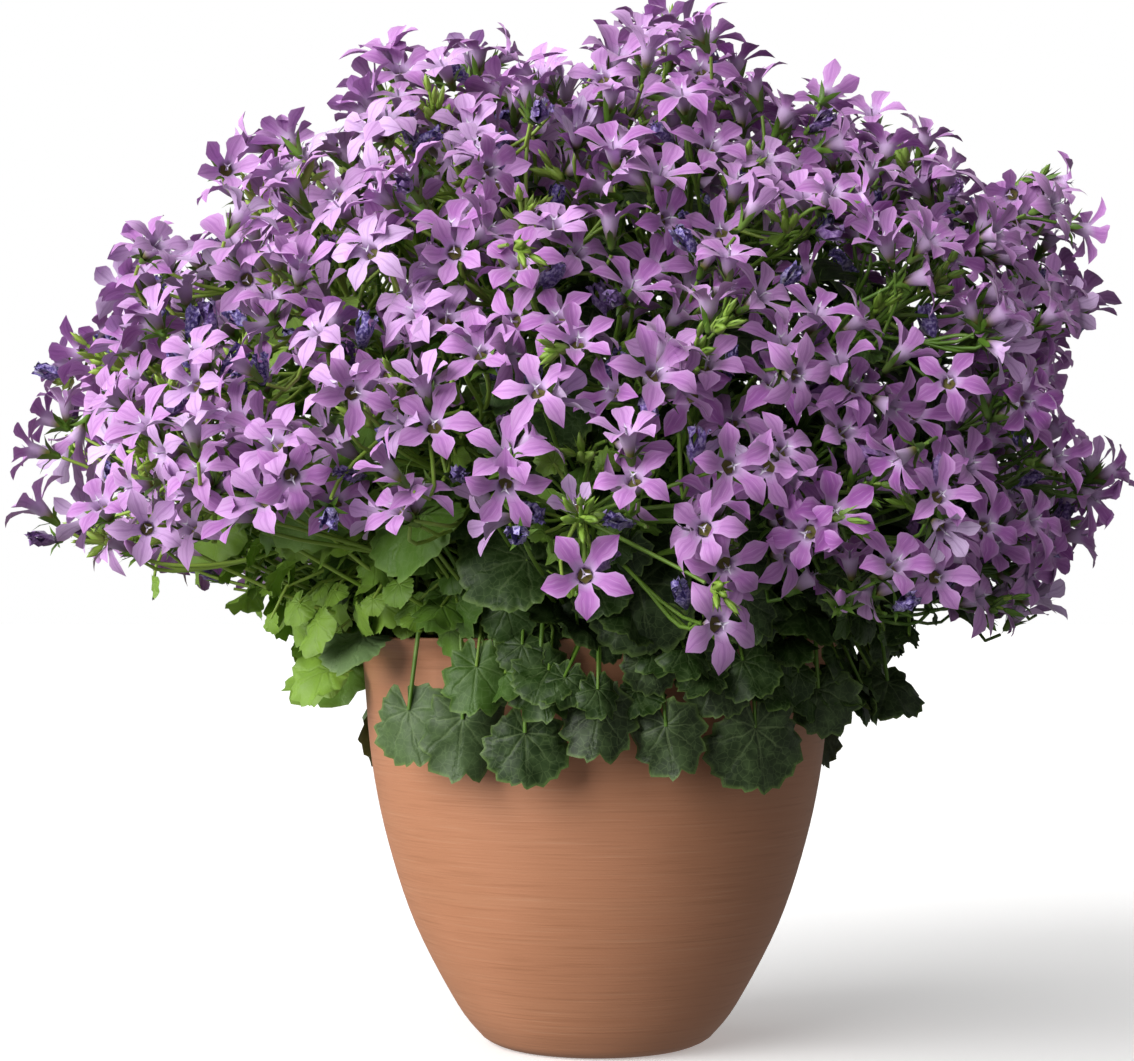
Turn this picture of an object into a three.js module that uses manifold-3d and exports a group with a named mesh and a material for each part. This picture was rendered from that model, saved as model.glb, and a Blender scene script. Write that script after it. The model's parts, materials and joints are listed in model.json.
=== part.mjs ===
// A potted Dalmatian bellflower: a round mound of five-pointed violet flowers on thin branching stems,
// with toothed heart-shaped leaves, growing out of soil in a turned clay pot.
// Millimetres, +Z up. The origin is the middle of the pot's flat foot, and the front faces -Y.
import * as THREE from "three";
import { mergeVertices } from "three/addons/utils/BufferGeometryUtils.js";
import Module from "manifold-3d";

const wasm = await Module();
wasm.setup();

// The pot: a flat foot, a wall that swells up to a short neck, and a lip that flares out.
const potSides = 36;
const potOutside = [
  [0, 0],
  [33.5, 0],
  [38, 2.4],
  [46.2, 13],
  [59.7, 39],
  [68.6, 66],
  [73.9, 92],
  [76.6, 122],
  [78, 128],
  [81.6, 132],
];
const potInside = [
  [80.4, 133],
  [73, 124],
  [69.6, 92],
  [60, 52],
  [41, 12],
  [34, 9],
  [0, 9],
];

// Rings along the top of the wall that stalks and leaves keep clear of: radius and height, and how thick they are.
const wallRings = [
  [79.5, 130.5],
  [75.5, 124],
  [74.5, 117],
  [73.5, 110],
];
const wallGirth = 3.4;

// The soil fills the pot to a finger's breadth under the rim, a gap away from the clay.
const soilLevel = 120;
const soilGap = 0.5;
const rootDepth = 6;
const holeGap = 0.4;

// The mound of flowers is a dome round a point over the rim, a little to the left of the pot's axis.
const domeMiddle = new THREE.Vector3(-5, 0, 150);
const domeRadius = 178;
const domeDepthShare = 0.94;

// How low the flowers come, as the angle from straight up, by degrees round from the front to the right.
const domeEdges = [
  [-180, 90],
  [-90, 86],
  [-35, 84],
  [-10, 86],
  [10, 91],
  [60, 93],
  [90, 91],
  [180, 90],
];
const goldenAngle = 137.50776;

// Where the dome bulges or dips, seen from the front: degrees from straight up to the right, and millimetres.
const bulges = [
  [-86, -10],
  [-76, 2],
  [-66, 18],
  [-53, 10],
  [-45, -6],
  [-36, 12],
  [-28, -12],
  [-18, 8],
  [-2, -12],
  [9, 24],
  [18, 0],
  [30, 8],
  [42, 18],
  [51, 28],
  [58, 10],
  [70, -20],
  [80, 6],
  [90, -20],
];
const bulgeWidth = 6;
const bulgeDepth = 0.5;

// The sprays: one flowering stem each, all from one crown in the soil.
const sprayCount = 40;
const crownRadius = 58;
const stemRadius = 1.4;
const stemTipRadius = 1;
const tipSetback = 34;
const sprayStagger = 10;
const jointSpacing = 15;
const jointLength = 3.2;
const jointTwist = Math.PI / 3;

// The leafy shoots: short stems round the edge of the crown, which carry the large leaves.
const shootCount = 12;
const shootRootRadius = 64.5;
const shootTopRadius = 73;
const shootTop = 156;
const shootJointSpacing = 7.5;

// The flowers: five petals round a funnel, on a thin stalk.
const bloomCount = 256;
const petals = 5;
const petalReach = 16;
const notchReach = 7;
const notchDrop = 2.6;
const throatDrop = 6.5;
const funnelLength = 12;
const neckRadius = 0.9;
const stalkSlope = 1.15;
const layerDepth = 8;

// The leaves: toothed hearts, small on the stems and large where they hang over the rim.
const leafCount = 124;
const leafEdgeAngle = 104;
const skirtHeight = 0.3;
const skirtPlace = 24;
const leafReach = 128;
const skirtReach = 97;
const leafStagger = 16;
const stemLeafTeeth = 5;
const rimLeafTeeth = 7;
const sinusShare = 0.36;
const notchShare = 0.8;
const bladeDepth = 2;
const bladeRise = 0.8;
const bladeDroop = 0.12;

// The leaves over the rim: degrees round from the front to the right, height and distance from the pot's axis of
// the middle of the blade, its width, its lean outwards, and how far its tip swings to the right.
const rimLeaves = [
  [-75, 121, 92, 21, 30, -10],
  [-54, 131, 92, 24, 60, 10],
  [-37, 107, 91, 29, 6, 26],
  [-27, 105, 88, 24, 4, -14],
  [-20, 124, 90, 20, 14, -24],
  [-10, 120, 92, 21, 18, 14],
  [-12, 101, 90, 27, 8, 2],
  [0, 109, 90, 22, 10, -12],
  [5, 125, 92, 18, 24, 10],
  [11, 104, 89, 20, 6, 12],
  [21, 119, 91, 21, 14, 24],
  [32, 101, 90, 33, 6, 8],
  [50, 114, 90, 24, 20, 20],
  [68, 116, 100, 24, 35, -16],
  [94, 116, 94, 24, 26, 8],
  [108, 119, 92, 24, 25, -20],
  [125, 101, 90, 31, 10, 12],
  [143, 113, 91, 24, 20, -8],
  [161, 100, 90, 32, 6, 18],
  [180, 118, 92, 24, 25, -14],
  [199, 102, 90, 30, 10, 6],
  [217, 114, 91, 24, 20, -18],
  [236, 101, 90, 32, 6, 10],
  [252, 119, 92, 25, 25, 16],
  [270, 121, 93, 23, 28, -10],
];

// How much room the middles of things keep: two flowers or leaves, one beside a stalk, and stalks past their fork.
const tuftRoom = 7;
const stalkRoom = 1.2;
const forkRoom = 2.6;
const stalkGirth = 1.8;
const gap = 0.3;
const attempts = 16;

const up = new THREE.Vector3(0, 0, 1);
const { clamp, degToRad, lerp, radToDeg } = THREE.MathUtils;

// A repeatable number from 0 to 1 for item i of a kind.
function dice(kind, i) {
  const wave = Math.sin(kind * 127.1 + i * 311.7) * 43758.5453;
  return wave - Math.floor(wave);
}

// A repeatable vector with sides from -size to size.
function jitter(kind, i, size) {
  const side = (k) => (2 * dice(kind + 0.1 * k, i) - 1) * size;
  return new THREE.Vector3(side(1), side(2), side(3));
}

function along(start, direction, length) {
  return start.clone().addScaledVector(direction, length);
}

function middleOf(points) {
  return points.reduce((sum, point) => sum.add(point), new THREE.Vector3()).divideScalar(points.length);
}

// A ring of points round a centre, across an axis, the first of them in a given direction.
function ring(centre, axis, radius, sides, toward) {
  const first = along(toward, axis, -toward.dot(axis)).normalize();
  const second = axis.clone().cross(first);
  return Array.from({ length: sides }, (_, k) => {
    const angle = (2 * Math.PI * k) / sides;
    const point = along(centre, first, radius * Math.cos(angle));
    return point.addScaledVector(second, radius * Math.sin(angle));
  });
}

// The angle from straight up at which the dome ends, in a direction round the pot.
function domeEdge(around) {
  const side = radToDeg(Math.atan2(Math.cos(around), -Math.sin(around)));
  const next = domeEdges.findIndex(([at]) => at > side);
  const [[from, low], [to, high]] = [domeEdges[next - 1], domeEdges[next]];
  return degToRad(lerp(low, high, (side - from) / (to - from)));
}

// Direction i of count on the dome, spread evenly by the golden angle.
function domeDirection(i, count, turn) {
  const around = degToRad(i * goldenAngle + turn);
  const edge = domeEdge(around);
  const height = 1 - ((i + 0.5) / count) * (1 - Math.cos(edge));
  const level = Math.sqrt(1 - height * height);
  return new THREE.Vector3(level * Math.cos(around), level * Math.sin(around), height);
}

// How far the flowers reach from the dome's middle in a direction.
function reach(direction) {
  const side = radToDeg(Math.atan2(direction.x, direction.z));
  const facing = Math.exp(-((direction.y / bulgeDepth) ** 2));
  const rises = bulges.map(([at, rise]) => rise * Math.exp(-(((side - at) / bulgeWidth) ** 2)));
  return domeRadius + facing * rises.reduce((sum, rise) => sum + rise, 0);
}

function onDome(direction, radius) {
  const point = direction.clone().multiplyScalar(radius);
  point.y *= domeDepthShare;
  return point.add(domeMiddle);
}

// A spray's stem runs out of the soil, up past the rim, and out to its place under the dome. A joint on it is a
// short three-sided length, and each of its sides may open into a stalk.
function makeSpray(i) {
  const direction = domeDirection(i, sprayCount, 0);
  const stagger = sprayStagger * (2 * dice(1, i) - 1);
  const out = new THREE.Vector3(direction.x, direction.y, 0).normalize();
  const across = out.clone().cross(up);
  const spread = 1 - direction.z;
  const root = out.clone().multiplyScalar(crownRadius * Math.sqrt((i + 0.5) / sprayCount));
  root.z = soilLevel - rootDepth;
  const tip = onDome(direction, reach(direction) + stagger - tipSetback);
  const rise = along(along(root, up, 52 - 14 * spread), out, 8 * spread);
  const lead = along(tip, direction, -0.36 * domeRadius);
  lead.z += 16 * spread;
  const curve = new THREE.CubicBezierCurve3(root, rise, lead, tip);
  return { direction, stagger, joints: makeJoints(curve, across, jointSpacing), tufts: [] };
}

// A leafy shoot is the same, but short and with leaves only.
function makeShoot(i) {
  const around = (2 * Math.PI * (i + 0.35 * dice(11, i))) / shootCount;
  const out = new THREE.Vector3(Math.cos(around), Math.sin(around), 0);
  const root = along(out.clone().multiplyScalar(shootRootRadius), up, soilLevel - rootDepth);
  const top = along(out.clone().multiplyScalar(shootTopRadius), up, shootTop + 6 * dice(12, i));
  const curve = new THREE.CubicBezierCurve3(root, along(root, up, 14), along(top, up, -16), top);
  return { direction: out, stagger: 0, joints: makeJoints(curve, out.clone().cross(up), shootJointSpacing), tufts: [] };
}

function makeJoints(curve, across, spacing) {
  const count = Math.round(curve.getLength() / spacing);
  return Array.from({ length: count + 1 }, (_, k) => {
    const centre = curve.getPointAt(k / count);
    const axis = curve.getTangentAt(k / count);
    const radius = lerp(stemRadius, stemTipRadius, k / count);
    const toward = across.clone().applyAxisAngle(axis, jointTwist * k);
    const ends = [-0.5, 0.5].map((end) => ring(along(centre, axis, end * jointLength), axis, radius, 3, toward));
    const sides = [0, 1, 2].map((j) => toward.clone().applyAxisAngle(axis, jointTwist * (2 * j + 1)));
    return { centre, axis, ends, sides, tufts: [], place: (k / count) * curve.getLength() };
  });
}

// The stem that reaches out most nearly in a direction.
function stemToward(direction, stems) {
  const near = stems.map((stem) => stem.direction.dot(direction));
  return stems[near.indexOf(Math.max(...near))];
}

// The joint's side for a stalk to a neck: free, facing it, and where the stalk slants up the stem.
function pickFork(spray, neck, wantedPlace) {
  const tip = spray.joints.at(-1);
  const forward = spray.direction.dot(neck.clone().sub(tip.centre));
  const offside = along(neck, spray.direction, -forward).distanceTo(tip.centre);
  const place = wantedPlace ?? tip.place - Math.max(stalkSlope * offside - forward, 0);
  let best = null;
  spray.joints.slice(1, -1).forEach((joint) => {
    const way = neck.clone().sub(joint.centre);
    const aside = along(way, joint.axis, -way.dot(joint.axis));
    const side = joint.sides.findIndex((normal) => aside.dot(normal) > 0.84 * aside.length());
    if (side < 0 || joint.tufts[side] || aside.length() < 5 || aside.length() < 0.35 * way.length()) return;
    const score = Math.abs(joint.place - place);
    if (!best || score < best.score) best = { joint, side, score };
  });
  return best;
}

// A tuft is a flower or a leaf on its stalk: an outline of points, each on an arm from an anchor on its spine.
function makeBloom(i, attempt) {
  const draw = i + 0.37 * attempt;
  const wander = jitter(2, draw, 0.03 + 0.008 * attempt);
  const direction = domeDirection(i, bloomCount, 60).add(wander).normalize();
  const spray = stemToward(direction, sprays);
  const depth = layerDepth * ((i + attempt) % 3) + 3 * dice(3, draw);
  const mouth = onDome(direction, reach(direction) + 0.7 * spray.stagger - depth);
  const facing = along(direction, up, 0.25).add(jitter(4, draw, 0.35)).normalize();
  const neck = along(mouth, facing, -funnelLength);
  const fork = pickFork(spray, neck);
  if (!fork || neck.clone().sub(fork.joint.centre).normalize().dot(facing) < 0.3) return null;
  const toward = up.clone().cross(facing).applyAxisAngle(facing, 2 * Math.PI * dice(5, draw));
  const outline = ring(new THREE.Vector3(), facing, 1, 2 * petals, toward).map((arm, k) => {
    const isTip = k % 2 === 0;
    arm.multiplyScalar(isTip ? petalReach : notchReach);
    return { anchor: along(mouth, facing, isTip ? 0 : -notchDrop), arm };
  });
  const spine = { from: neck, to: mouth, radius: neckRadius };
  return { spray, fork, line: [fork.joint.centre, neck], facing, outline, top: along(mouth, facing, -throatDrop), spine };
}

// A heart-shaped blade with teeth round its centre. Its stalk meets the back of it near the cleft.
function makeBlade(centre, forward, facing, width, teeth) {
  const size = width / 2;
  const sideways = facing.clone().cross(forward).normalize();
  const neck = along(along(centre, forward, -0.8 * sinusShare * size), facing, -bladeDepth);
  const outline = Array.from({ length: 2 * teeth }, (_, k) => {
    const angle = (Math.PI * k) / teeth;
    const isSinus = k === teeth;
    const share = isSinus ? sinusShare : k % 2 === 0 ? 1 : notchShare;
    const arm = forward.clone().multiplyScalar((k === 0 ? 1.15 : 1) * share * size * Math.cos(angle));
    arm.addScaledVector(sideways, share * size * Math.sin(angle));
    arm.addScaledVector(facing, isSinus ? 0 : -bladeDroop * size);
    return { anchor: centre, arm };
  });
  const spine = { from: neck, to: centre, radius: neckRadius };
  return { facing, outline, top: along(centre, facing, bladeRise), spine };
}

// A leaf under the flowers, or in the skirt below them that covers the rim.
function makeStemLeaf(i, attempt) {
  const draw = i + 0.37 * attempt;
  const low = (i + 0.5) / leafCount;
  const height = 1 - low * (1 - Math.cos(degToRad(leafEdgeAngle)));
  const around = degToRad(i * goldenAngle + 20 + 7 * attempt);
  const level = Math.sqrt(1 - height * height);
  const direction = new THREE.Vector3(level * Math.cos(around), level * Math.sin(around), height);
  const spray = stemToward(direction, height < skirtHeight ? shoots : sprays);
  const centre = onDome(direction, lerp(leafReach, skirtReach, low ** 2) + leafStagger * dice(6, draw));
  const facing = along(direction, up, 0.6).add(jitter(9, draw, 0.4)).normalize();
  const forward = direction.clone().multiplyScalar(0.4).addScaledVector(up, -1).add(jitter(7, draw, 0.6));
  forward.addScaledVector(facing, -forward.dot(facing)).normalize();
  const blade = makeBlade(centre, forward, facing, lerp(24, 31, low) + 4 * dice(8, draw), stemLeafTeeth);
  const fork = pickFork(spray, blade.spine.from, height < skirtHeight ? skirtPlace : undefined);
  return fork && { spray, fork, line: [fork.joint.centre, blade.spine.from], ...blade };
}

// A leaf on a long stalk that arches over the rim and hangs down outside the pot.
function makeRimLeaf(i, attempt) {
  const [around, height, distance, width, lean, turn] = rimLeaves[i];
  const swing = degToRad(around + (attempt % 2 ? 1.2 : -1.2) * Math.ceil(attempt / 2));
  const out = new THREE.Vector3(Math.sin(swing), -Math.cos(swing), 0);
  const tilt = degToRad(lean);
  const facing = out.clone().multiplyScalar(Math.cos(tilt)).addScaledVector(up, Math.sin(tilt));
  const forward = out.clone().multiplyScalar(Math.sin(tilt)).addScaledVector(up, -Math.cos(tilt));
  forward.applyAxisAngle(facing, degToRad(turn));
  const centre = along(out.clone().multiplyScalar(distance), up, height);
  const blade = makeBlade(centre, forward, facing, width, rimLeafTeeth);
  const neck = blade.spine.from;
  const spray = stemToward(out, shoots);
  const over = along(out.clone().multiplyScalar(76), up, 152);
  const fork = pickFork(spray, over, 15);
  if (!fork) return null;
  const down = along(out.clone().multiplyScalar(distance + 6), up, 152);
  const curve = new THREE.CubicBezierCurve3(fork.joint.centre, over, down, neck);
  return { spray, fork, line: curve.getPoints(4), ...blade };
}

// The nearest points of two straight spines.
function nearest(p, q) {
  const alongP = p.to.clone().sub(p.from);
  const alongQ = q.to.clone().sub(q.from);
  const between = p.from.clone().sub(q.from);
  const [pp, qq, pq] = [alongP.lengthSq(), alongQ.lengthSq(), alongP.dot(alongQ)];
  const [pb, qb] = [alongP.dot(between), alongQ.dot(between)];
  const spread = pp * qq - pq * pq;
  const first = spread > 1e-9 ? clamp((pq * qb - pb * qq) / spread, 0, 1) : 0;
  const onQ = clamp((pq * first + qb) / qq, 0, 1);
  const onP = clamp((pq * onQ - pb) / pp, 0, 1);
  return [along(p.from, alongP, onP), along(q.from, alongQ, onQ)];
}

function farApart(p, q) {
  const limit = p.from.distanceTo(p.to) + q.from.distanceTo(q.to) + 2 * petalReach + 10;
  return p.from.distanceTo(q.from) > limit;
}

// The straight lengths of a stem or stalk, each with the part of it that is past the fork.
function rodsOf(line, radius, owner, isStalk) {
  return line.slice(1).map((to, k) => {
    const from = line[k];
    const clear = Math.min(7 / from.distanceTo(to), 0.5);
    const upper = isStalk && k === 0 ? { from: from.clone().lerp(to, clear), to } : { from, to };
    return { from, to, radius, owner, isRod: true, upper };
  });
}

// True if a tuft keeps clear of everything placed so far.
function isClear(tuft, placed) {
  const own = [...rodsOf(tuft.line, stalkGirth, tuft.spray, true), tuft.spine];
  return own.every((p) =>
    placed.every((q) => {
      if (farApart(p, q)) return true;
      const bothRods = p.isRod && q.isRod;
      const isFork = bothRods && q.owner === tuft.spray;
      const [a, b] = isFork ? nearest(p.upper, q.upper) : nearest(p, q);
      const touching = p.radius + q.radius + gap;
      const beside = p.isRod || q.isRod ? touching + stalkRoom : tuftRoom;
      return a.distanceTo(b) >= (isFork ? forkRoom : bothRods ? touching : beside);
    }),
  );
}

// Shortens the arms that would reach past the halfway plane to a neighbour's spine.
function trim(tuft, placed) {
  for (const other of placed) {
    if (other === tuft.spine || farApart(tuft.spine, other)) continue;
    const [a, b] = nearest(tuft.spine, other);
    const toOther = b.clone().sub(a);
    const distance = toOther.length();
    const free = distance - tuft.spine.radius - other.radius - gap;
    if (free <= 0) continue;
    toOther.divideScalar(distance);
    const limit = tuft.spine.radius + (other.isRod ? free : free / 2);
    for (const { anchor, arm } of tuft.outline) {
      const start = anchor.clone().sub(a).dot(toOther);
      const step = arm.dot(toOther);
      if (start + step > limit) arm.multiplyScalar((limit - start) / step);
    }
  }
}

// Every stem stands first, then each leaf and flower takes the first of its tries that is clear.
const sprays = Array.from({ length: sprayCount }, (_, i) => makeSpray(i));
const shoots = Array.from({ length: shootCount }, (_, i) => makeShoot(i));
const stems = [...sprays, ...shoots];
const placed = wallRings.flatMap(([radius, height]) => {
  const wall = ring(new THREE.Vector3(0, 0, height), up, radius, potSides, new THREE.Vector3(1, 0, 0));
  return rodsOf([...wall, wall[0]], wallGirth, null, false);
});
for (const stem of stems) {
  placed.push(...rodsOf(stem.joints.map(({ centre }) => centre), stemRadius, stem, false));
}
const plans = [
  [rimLeaves.length, makeRimLeaf],
  [bloomCount, makeBloom],
  [leafCount, makeStemLeaf],
];
for (const [count, make] of plans) {
  for (let i = 0; i < count; i += 1) {
    for (let attempt = 0; attempt < attempts; attempt += 1) {
      const tuft = make(i, attempt);
      if (!tuft || !isClear(tuft, placed)) continue;
      placed.push(tuft.spine, ...rodsOf(tuft.line, stalkGirth, tuft.spray, true));
      tuft.fork.joint.tufts[tuft.fork.side] = tuft;
      tuft.spray.tufts.push(tuft);
      break;
    }
  }
}
for (const { tufts } of stems) for (const tuft of tufts) trim(tuft, placed);

// A skin is one closed mesh that grows ring by ring.
function addRing(skin, points) {
  const first = skin.points.length;
  skin.points.push(...points);
  return points.map((_, k) => first + k);
}

// Fills between two rings of corners, each counter-clockwise seen from the second.
function weave(skin, low, high) {
  const [m, n] = [low.length, high.length];
  let [i, j] = [0, 0];
  while (i < m || (n > 1 && j < n)) {
    if (n === 1 || (i < m && (i + 0.5) / m <= (j + 0.5) / n)) {
      skin.faces.push(low[i], low[(i + 1) % m], high[j % n]);
      i += 1;
    } else {
      skin.faces.push(low[i % m], high[(j + 1) % n], high[j]);
      j += 1;
    }
  }
}

function close(skin, corners) {
  for (let k = 1; k + 1 < corners.length; k += 1) skin.faces.push(corners[0], corners[k], corners[k + 1]);
}

// A stalk out of the corners of a joint's side, and the flower or leaf at its end.
function growTuft(skin, corners, { line, facing, outline, top }) {
  const start = corners.map((corner) => skin.points[corner]);
  const toward = start[0].clone().sub(middleOf(start));
  let low = corners;
  let last = [];
  line.slice(1).forEach((point, k) => {
    const axis = point.clone().sub(line[k]).normalize();
    axis.add(k + 2 < line.length ? line[k + 2].clone().sub(point).normalize() : facing).normalize();
    last = ring(point, axis, neckRadius, 3, toward);
    const high = addRing(skin, last);
    weave(skin, low, high);
    low = high;
  });
  const first = last[0].clone().sub(middleOf(last));
  const turns = outline.map(({ arm }) => arm.dot(first) / arm.length());
  const shift = turns.indexOf(Math.max(...turns));
  const turned = outline.map((_, k) => outline[(k + shift) % outline.length]);
  const edge = addRing(skin, turned.map(({ anchor, arm }) => anchor.clone().add(arm)));
  weave(skin, low, edge);
  weave(skin, edge, addRing(skin, [top]));
}

function growSpray({ joints }) {
  const skin = { points: [], faces: [] };
  let below = addRing(skin, joints[0].ends[0]);
  close(skin, [...below].reverse());
  for (const { ends, tufts } of joints.slice(1)) {
    const low = addRing(skin, ends[0]);
    weave(skin, below, low);
    below = low;
    if (!tufts.some(Boolean)) continue;
    below = addRing(skin, ends[1]);
    for (let j = 0; j < 3; j += 1) {
      const next = (j + 1) % 3;
      const corners = [low[j], low[next], below[next], below[j]];
      if (tufts[j]) growTuft(skin, corners, tufts[j]);
      else close(skin, corners);
    }
  }
  close(skin, below);
  return new THREE.BufferGeometry().setFromPoints(skin.points).setIndex(skin.faces);
}

function solid(geometry) {
  const bare = geometry.clone();
  bare.deleteAttribute("normal");
  bare.deleteAttribute("uv");
  const merged = mergeVertices(bare, 1e-4);
  const triVerts = new Uint32Array(merged.index.array);
  return new wasm.Manifold(new wasm.Mesh({ numProp: 3, vertProperties: merged.attributes.position.array, triVerts }));
}

function geometryOf(body) {
  const { vertProperties, triVerts } = body.getMesh();
  const geometry = new THREE.BufferGeometry();
  geometry.setAttribute("position", new THREE.BufferAttribute(vertProperties, 3));
  return geometry.setIndex(new THREE.BufferAttribute(triVerts, 1));
}

function lathe(profile) {
  const points = profile.map(([radius, height]) => new THREE.Vector2(radius, height));
  return new THREE.LatheGeometry(points, potSides).rotateX(Math.PI / 2);
}

const plant = new THREE.Group();

function addPiece(name, geometry, colour, roughness) {
  geometry.computeVertexNormals();
  const mesh = new THREE.Mesh(geometry, new THREE.MeshStandardMaterial({ color: colour, roughness, metalness: 0 }));
  mesh.name = name;
  plant.add(mesh);
}

addPiece("pot", lathe([...potOutside, ...potInside]), 0xb07a58, 0.6);

// The soil follows the pot's inside at a gap, and each stem stands in a plain square hole in it.
const wall = potInside.slice(2, -1).map(([radius, height]) => [radius - soilGap, height + soilGap]);
const soilProfile = [[0, wall.at(-1)[1]], ...wall.reverse(), [72.3 - soilGap, soilLevel], [0, soilLevel]];
let soil = solid(lathe(soilProfile));
for (const { joints } of stems) {
  const [bottom, top] = [joints[0].ends[0], joints[1].ends[0]].map(middleOf);
  const sunk = along(bottom, up, -holeGap);
  const lift = top.sub(bottom).setLength(2 * rootDepth);
  const skin = { points: [], faces: [] };
  const low = addRing(skin, ring(sunk, up, stemRadius + 3 * holeGap, 4, new THREE.Vector3(1, 0, 0)));
  const high = addRing(skin, low.map((corner) => skin.points[corner].clone().add(lift)));
  close(skin, [...low].reverse());
  weave(skin, low, high);
  close(skin, high);
  soil = soil.subtract(solid(new THREE.BufferGeometry().setFromPoints(skin.points).setIndex(skin.faces)));
}
addPiece("soil", geometryOf(soil), 0x2a1f18, 0.95);

sprays.forEach((spray, i) => {
  addPiece(`flower_spray_${String(i + 1).padStart(2, "0")}`, growSpray(spray), 0xa874bd, 0.6);
});
shoots.forEach((shoot, i) => {
  addPiece(`leafy_shoot_${String(i + 1).padStart(2, "0")}`, growSpray(shoot), 0x55733c, 0.6);
});

export default plant;
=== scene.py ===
# %% [markdown]
# # A potted bellflower
# A bellflower in full bloom is hundreds of small stars on thin stalks, with toothed leaves under them and a
# turned clay pot below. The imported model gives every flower's and leaf's place. This lesson dresses it: it
# reads those places from the frame, makes a few fine shapes of each kind, and lets one Geometry Nodes tree
# repeat them.

# %% Load the frame
import json
import math

import bpy
import numpy as np
from mathutils import Matrix, Vector, noise

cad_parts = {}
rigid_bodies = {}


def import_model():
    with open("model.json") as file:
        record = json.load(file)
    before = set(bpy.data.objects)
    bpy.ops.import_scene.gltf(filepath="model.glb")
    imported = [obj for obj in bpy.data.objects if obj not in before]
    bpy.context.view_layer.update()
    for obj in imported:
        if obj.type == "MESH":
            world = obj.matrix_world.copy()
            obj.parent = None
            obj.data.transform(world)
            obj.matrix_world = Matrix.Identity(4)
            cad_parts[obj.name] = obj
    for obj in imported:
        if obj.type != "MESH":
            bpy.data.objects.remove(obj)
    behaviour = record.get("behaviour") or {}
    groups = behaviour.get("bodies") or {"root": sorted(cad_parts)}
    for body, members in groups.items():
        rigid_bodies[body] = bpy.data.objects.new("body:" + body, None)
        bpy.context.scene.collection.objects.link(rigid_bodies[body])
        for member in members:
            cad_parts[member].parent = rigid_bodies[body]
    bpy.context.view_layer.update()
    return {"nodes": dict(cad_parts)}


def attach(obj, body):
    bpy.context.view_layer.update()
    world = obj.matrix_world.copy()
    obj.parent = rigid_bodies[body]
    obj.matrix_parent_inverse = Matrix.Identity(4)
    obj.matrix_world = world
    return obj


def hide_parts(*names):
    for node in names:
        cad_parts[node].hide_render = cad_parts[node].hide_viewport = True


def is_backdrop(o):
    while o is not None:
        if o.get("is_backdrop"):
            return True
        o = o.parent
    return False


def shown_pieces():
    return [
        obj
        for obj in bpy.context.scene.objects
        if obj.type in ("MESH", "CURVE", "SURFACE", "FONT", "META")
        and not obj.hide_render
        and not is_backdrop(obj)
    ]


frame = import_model()
MM = 0.001
UP = Vector((0, 0, 1))
print("nodes in the frame:", len(frame["nodes"]))

# %% [markdown]
# ## Camera and light
# The photograph was taken level with the pot's rim, from far enough away that the near flowers look no
# larger than the others. A long lens does that. The view is shifted a little, as a studio camera's is, so
# that the pot stays upright in the picture while the whole plant is in it. The main light is a large soft
# one from the left and front, and a wider, weaker one shines down from the left, so the right side of the
# plant falls into shade. Sun lights do for both: seen from something this small, a studio's softboxes are
# far away, and a sun's angle sets their width.


# %% Camera
def show(name, data):
    """Puts a mesh, a light or a camera into the scene as an object."""
    thing = bpy.data.objects.new(name, data)
    bpy.context.scene.collection.objects.link(thing)
    return thing


PHOTO_WIDTH = 1134
VIEW_WIDTH = 0.33 * MM * PHOTO_WIDTH
EYE_DISTANCE = 0.75
EYE_HEIGHT = 0.14
AXIS_RIGHT_OF_MIDDLE = 30
EYE_BELOW_MIDDLE = 84.5

lens = bpy.data.cameras.new("camera")
lens.sensor_width = 36
lens.lens = lens.sensor_width * EYE_DISTANCE / VIEW_WIDTH
lens.shift_x = -AXIS_RIGHT_OF_MIDDLE / PHOTO_WIDTH
lens.shift_y = EYE_BELOW_MIDDLE / PHOTO_WIDTH
camera = show("camera", lens)
camera.location = (0, -EYE_DISTANCE, EYE_HEIGHT)
camera.rotation_euler = (math.radians(90), 0, 0)
bpy.context.scene.camera = camera
print("focal length:", round(lens.lens, 1), "mm")


# %% Studio lights
def add_light(name, direction, softness, power):
    """A far light from a direction. softness is how wide it looks from the plant, in degrees."""
    data = bpy.data.lights.new(name, "SUN")
    data.angle = math.radians(softness)
    data.energy = power
    light = show(name, data)
    light.location = direction
    light.rotation_euler = Vector(direction).to_track_quat("Z", "Y").to_euler()


add_light("key_light", (-0.71, -0.6, 0.37), 50, 3.9)
add_light("top_light", (-0.75, 0.05, 0.66), 80, 1.4)
print("lights:", [light.name for light in bpy.data.lights if light.type == "SUN"])

# %% [markdown]
# ## Nodes in a few words
# One helper adds every node in this file: it sets the node up and fills or links its inputs. A colour is
# written as people read it, in sRGB hex, and one function turns it into the linear values of a shader. A
# third helper lays one colour over another where a value changes, and that paints nearly all the patterns
# below.


# %% Helpers for nodes and colours
def linear(colour):
    """A colour such as #b878c8 as linear red, green, blue and alpha."""
    parts = [int(colour[k : k + 2], 16) / 255 for k in (1, 3, 5)]
    return [p / 12.92 if p <= 0.04045 else ((p + 0.055) / 1.055) ** 2.4 for p in parts] + [1]


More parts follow.
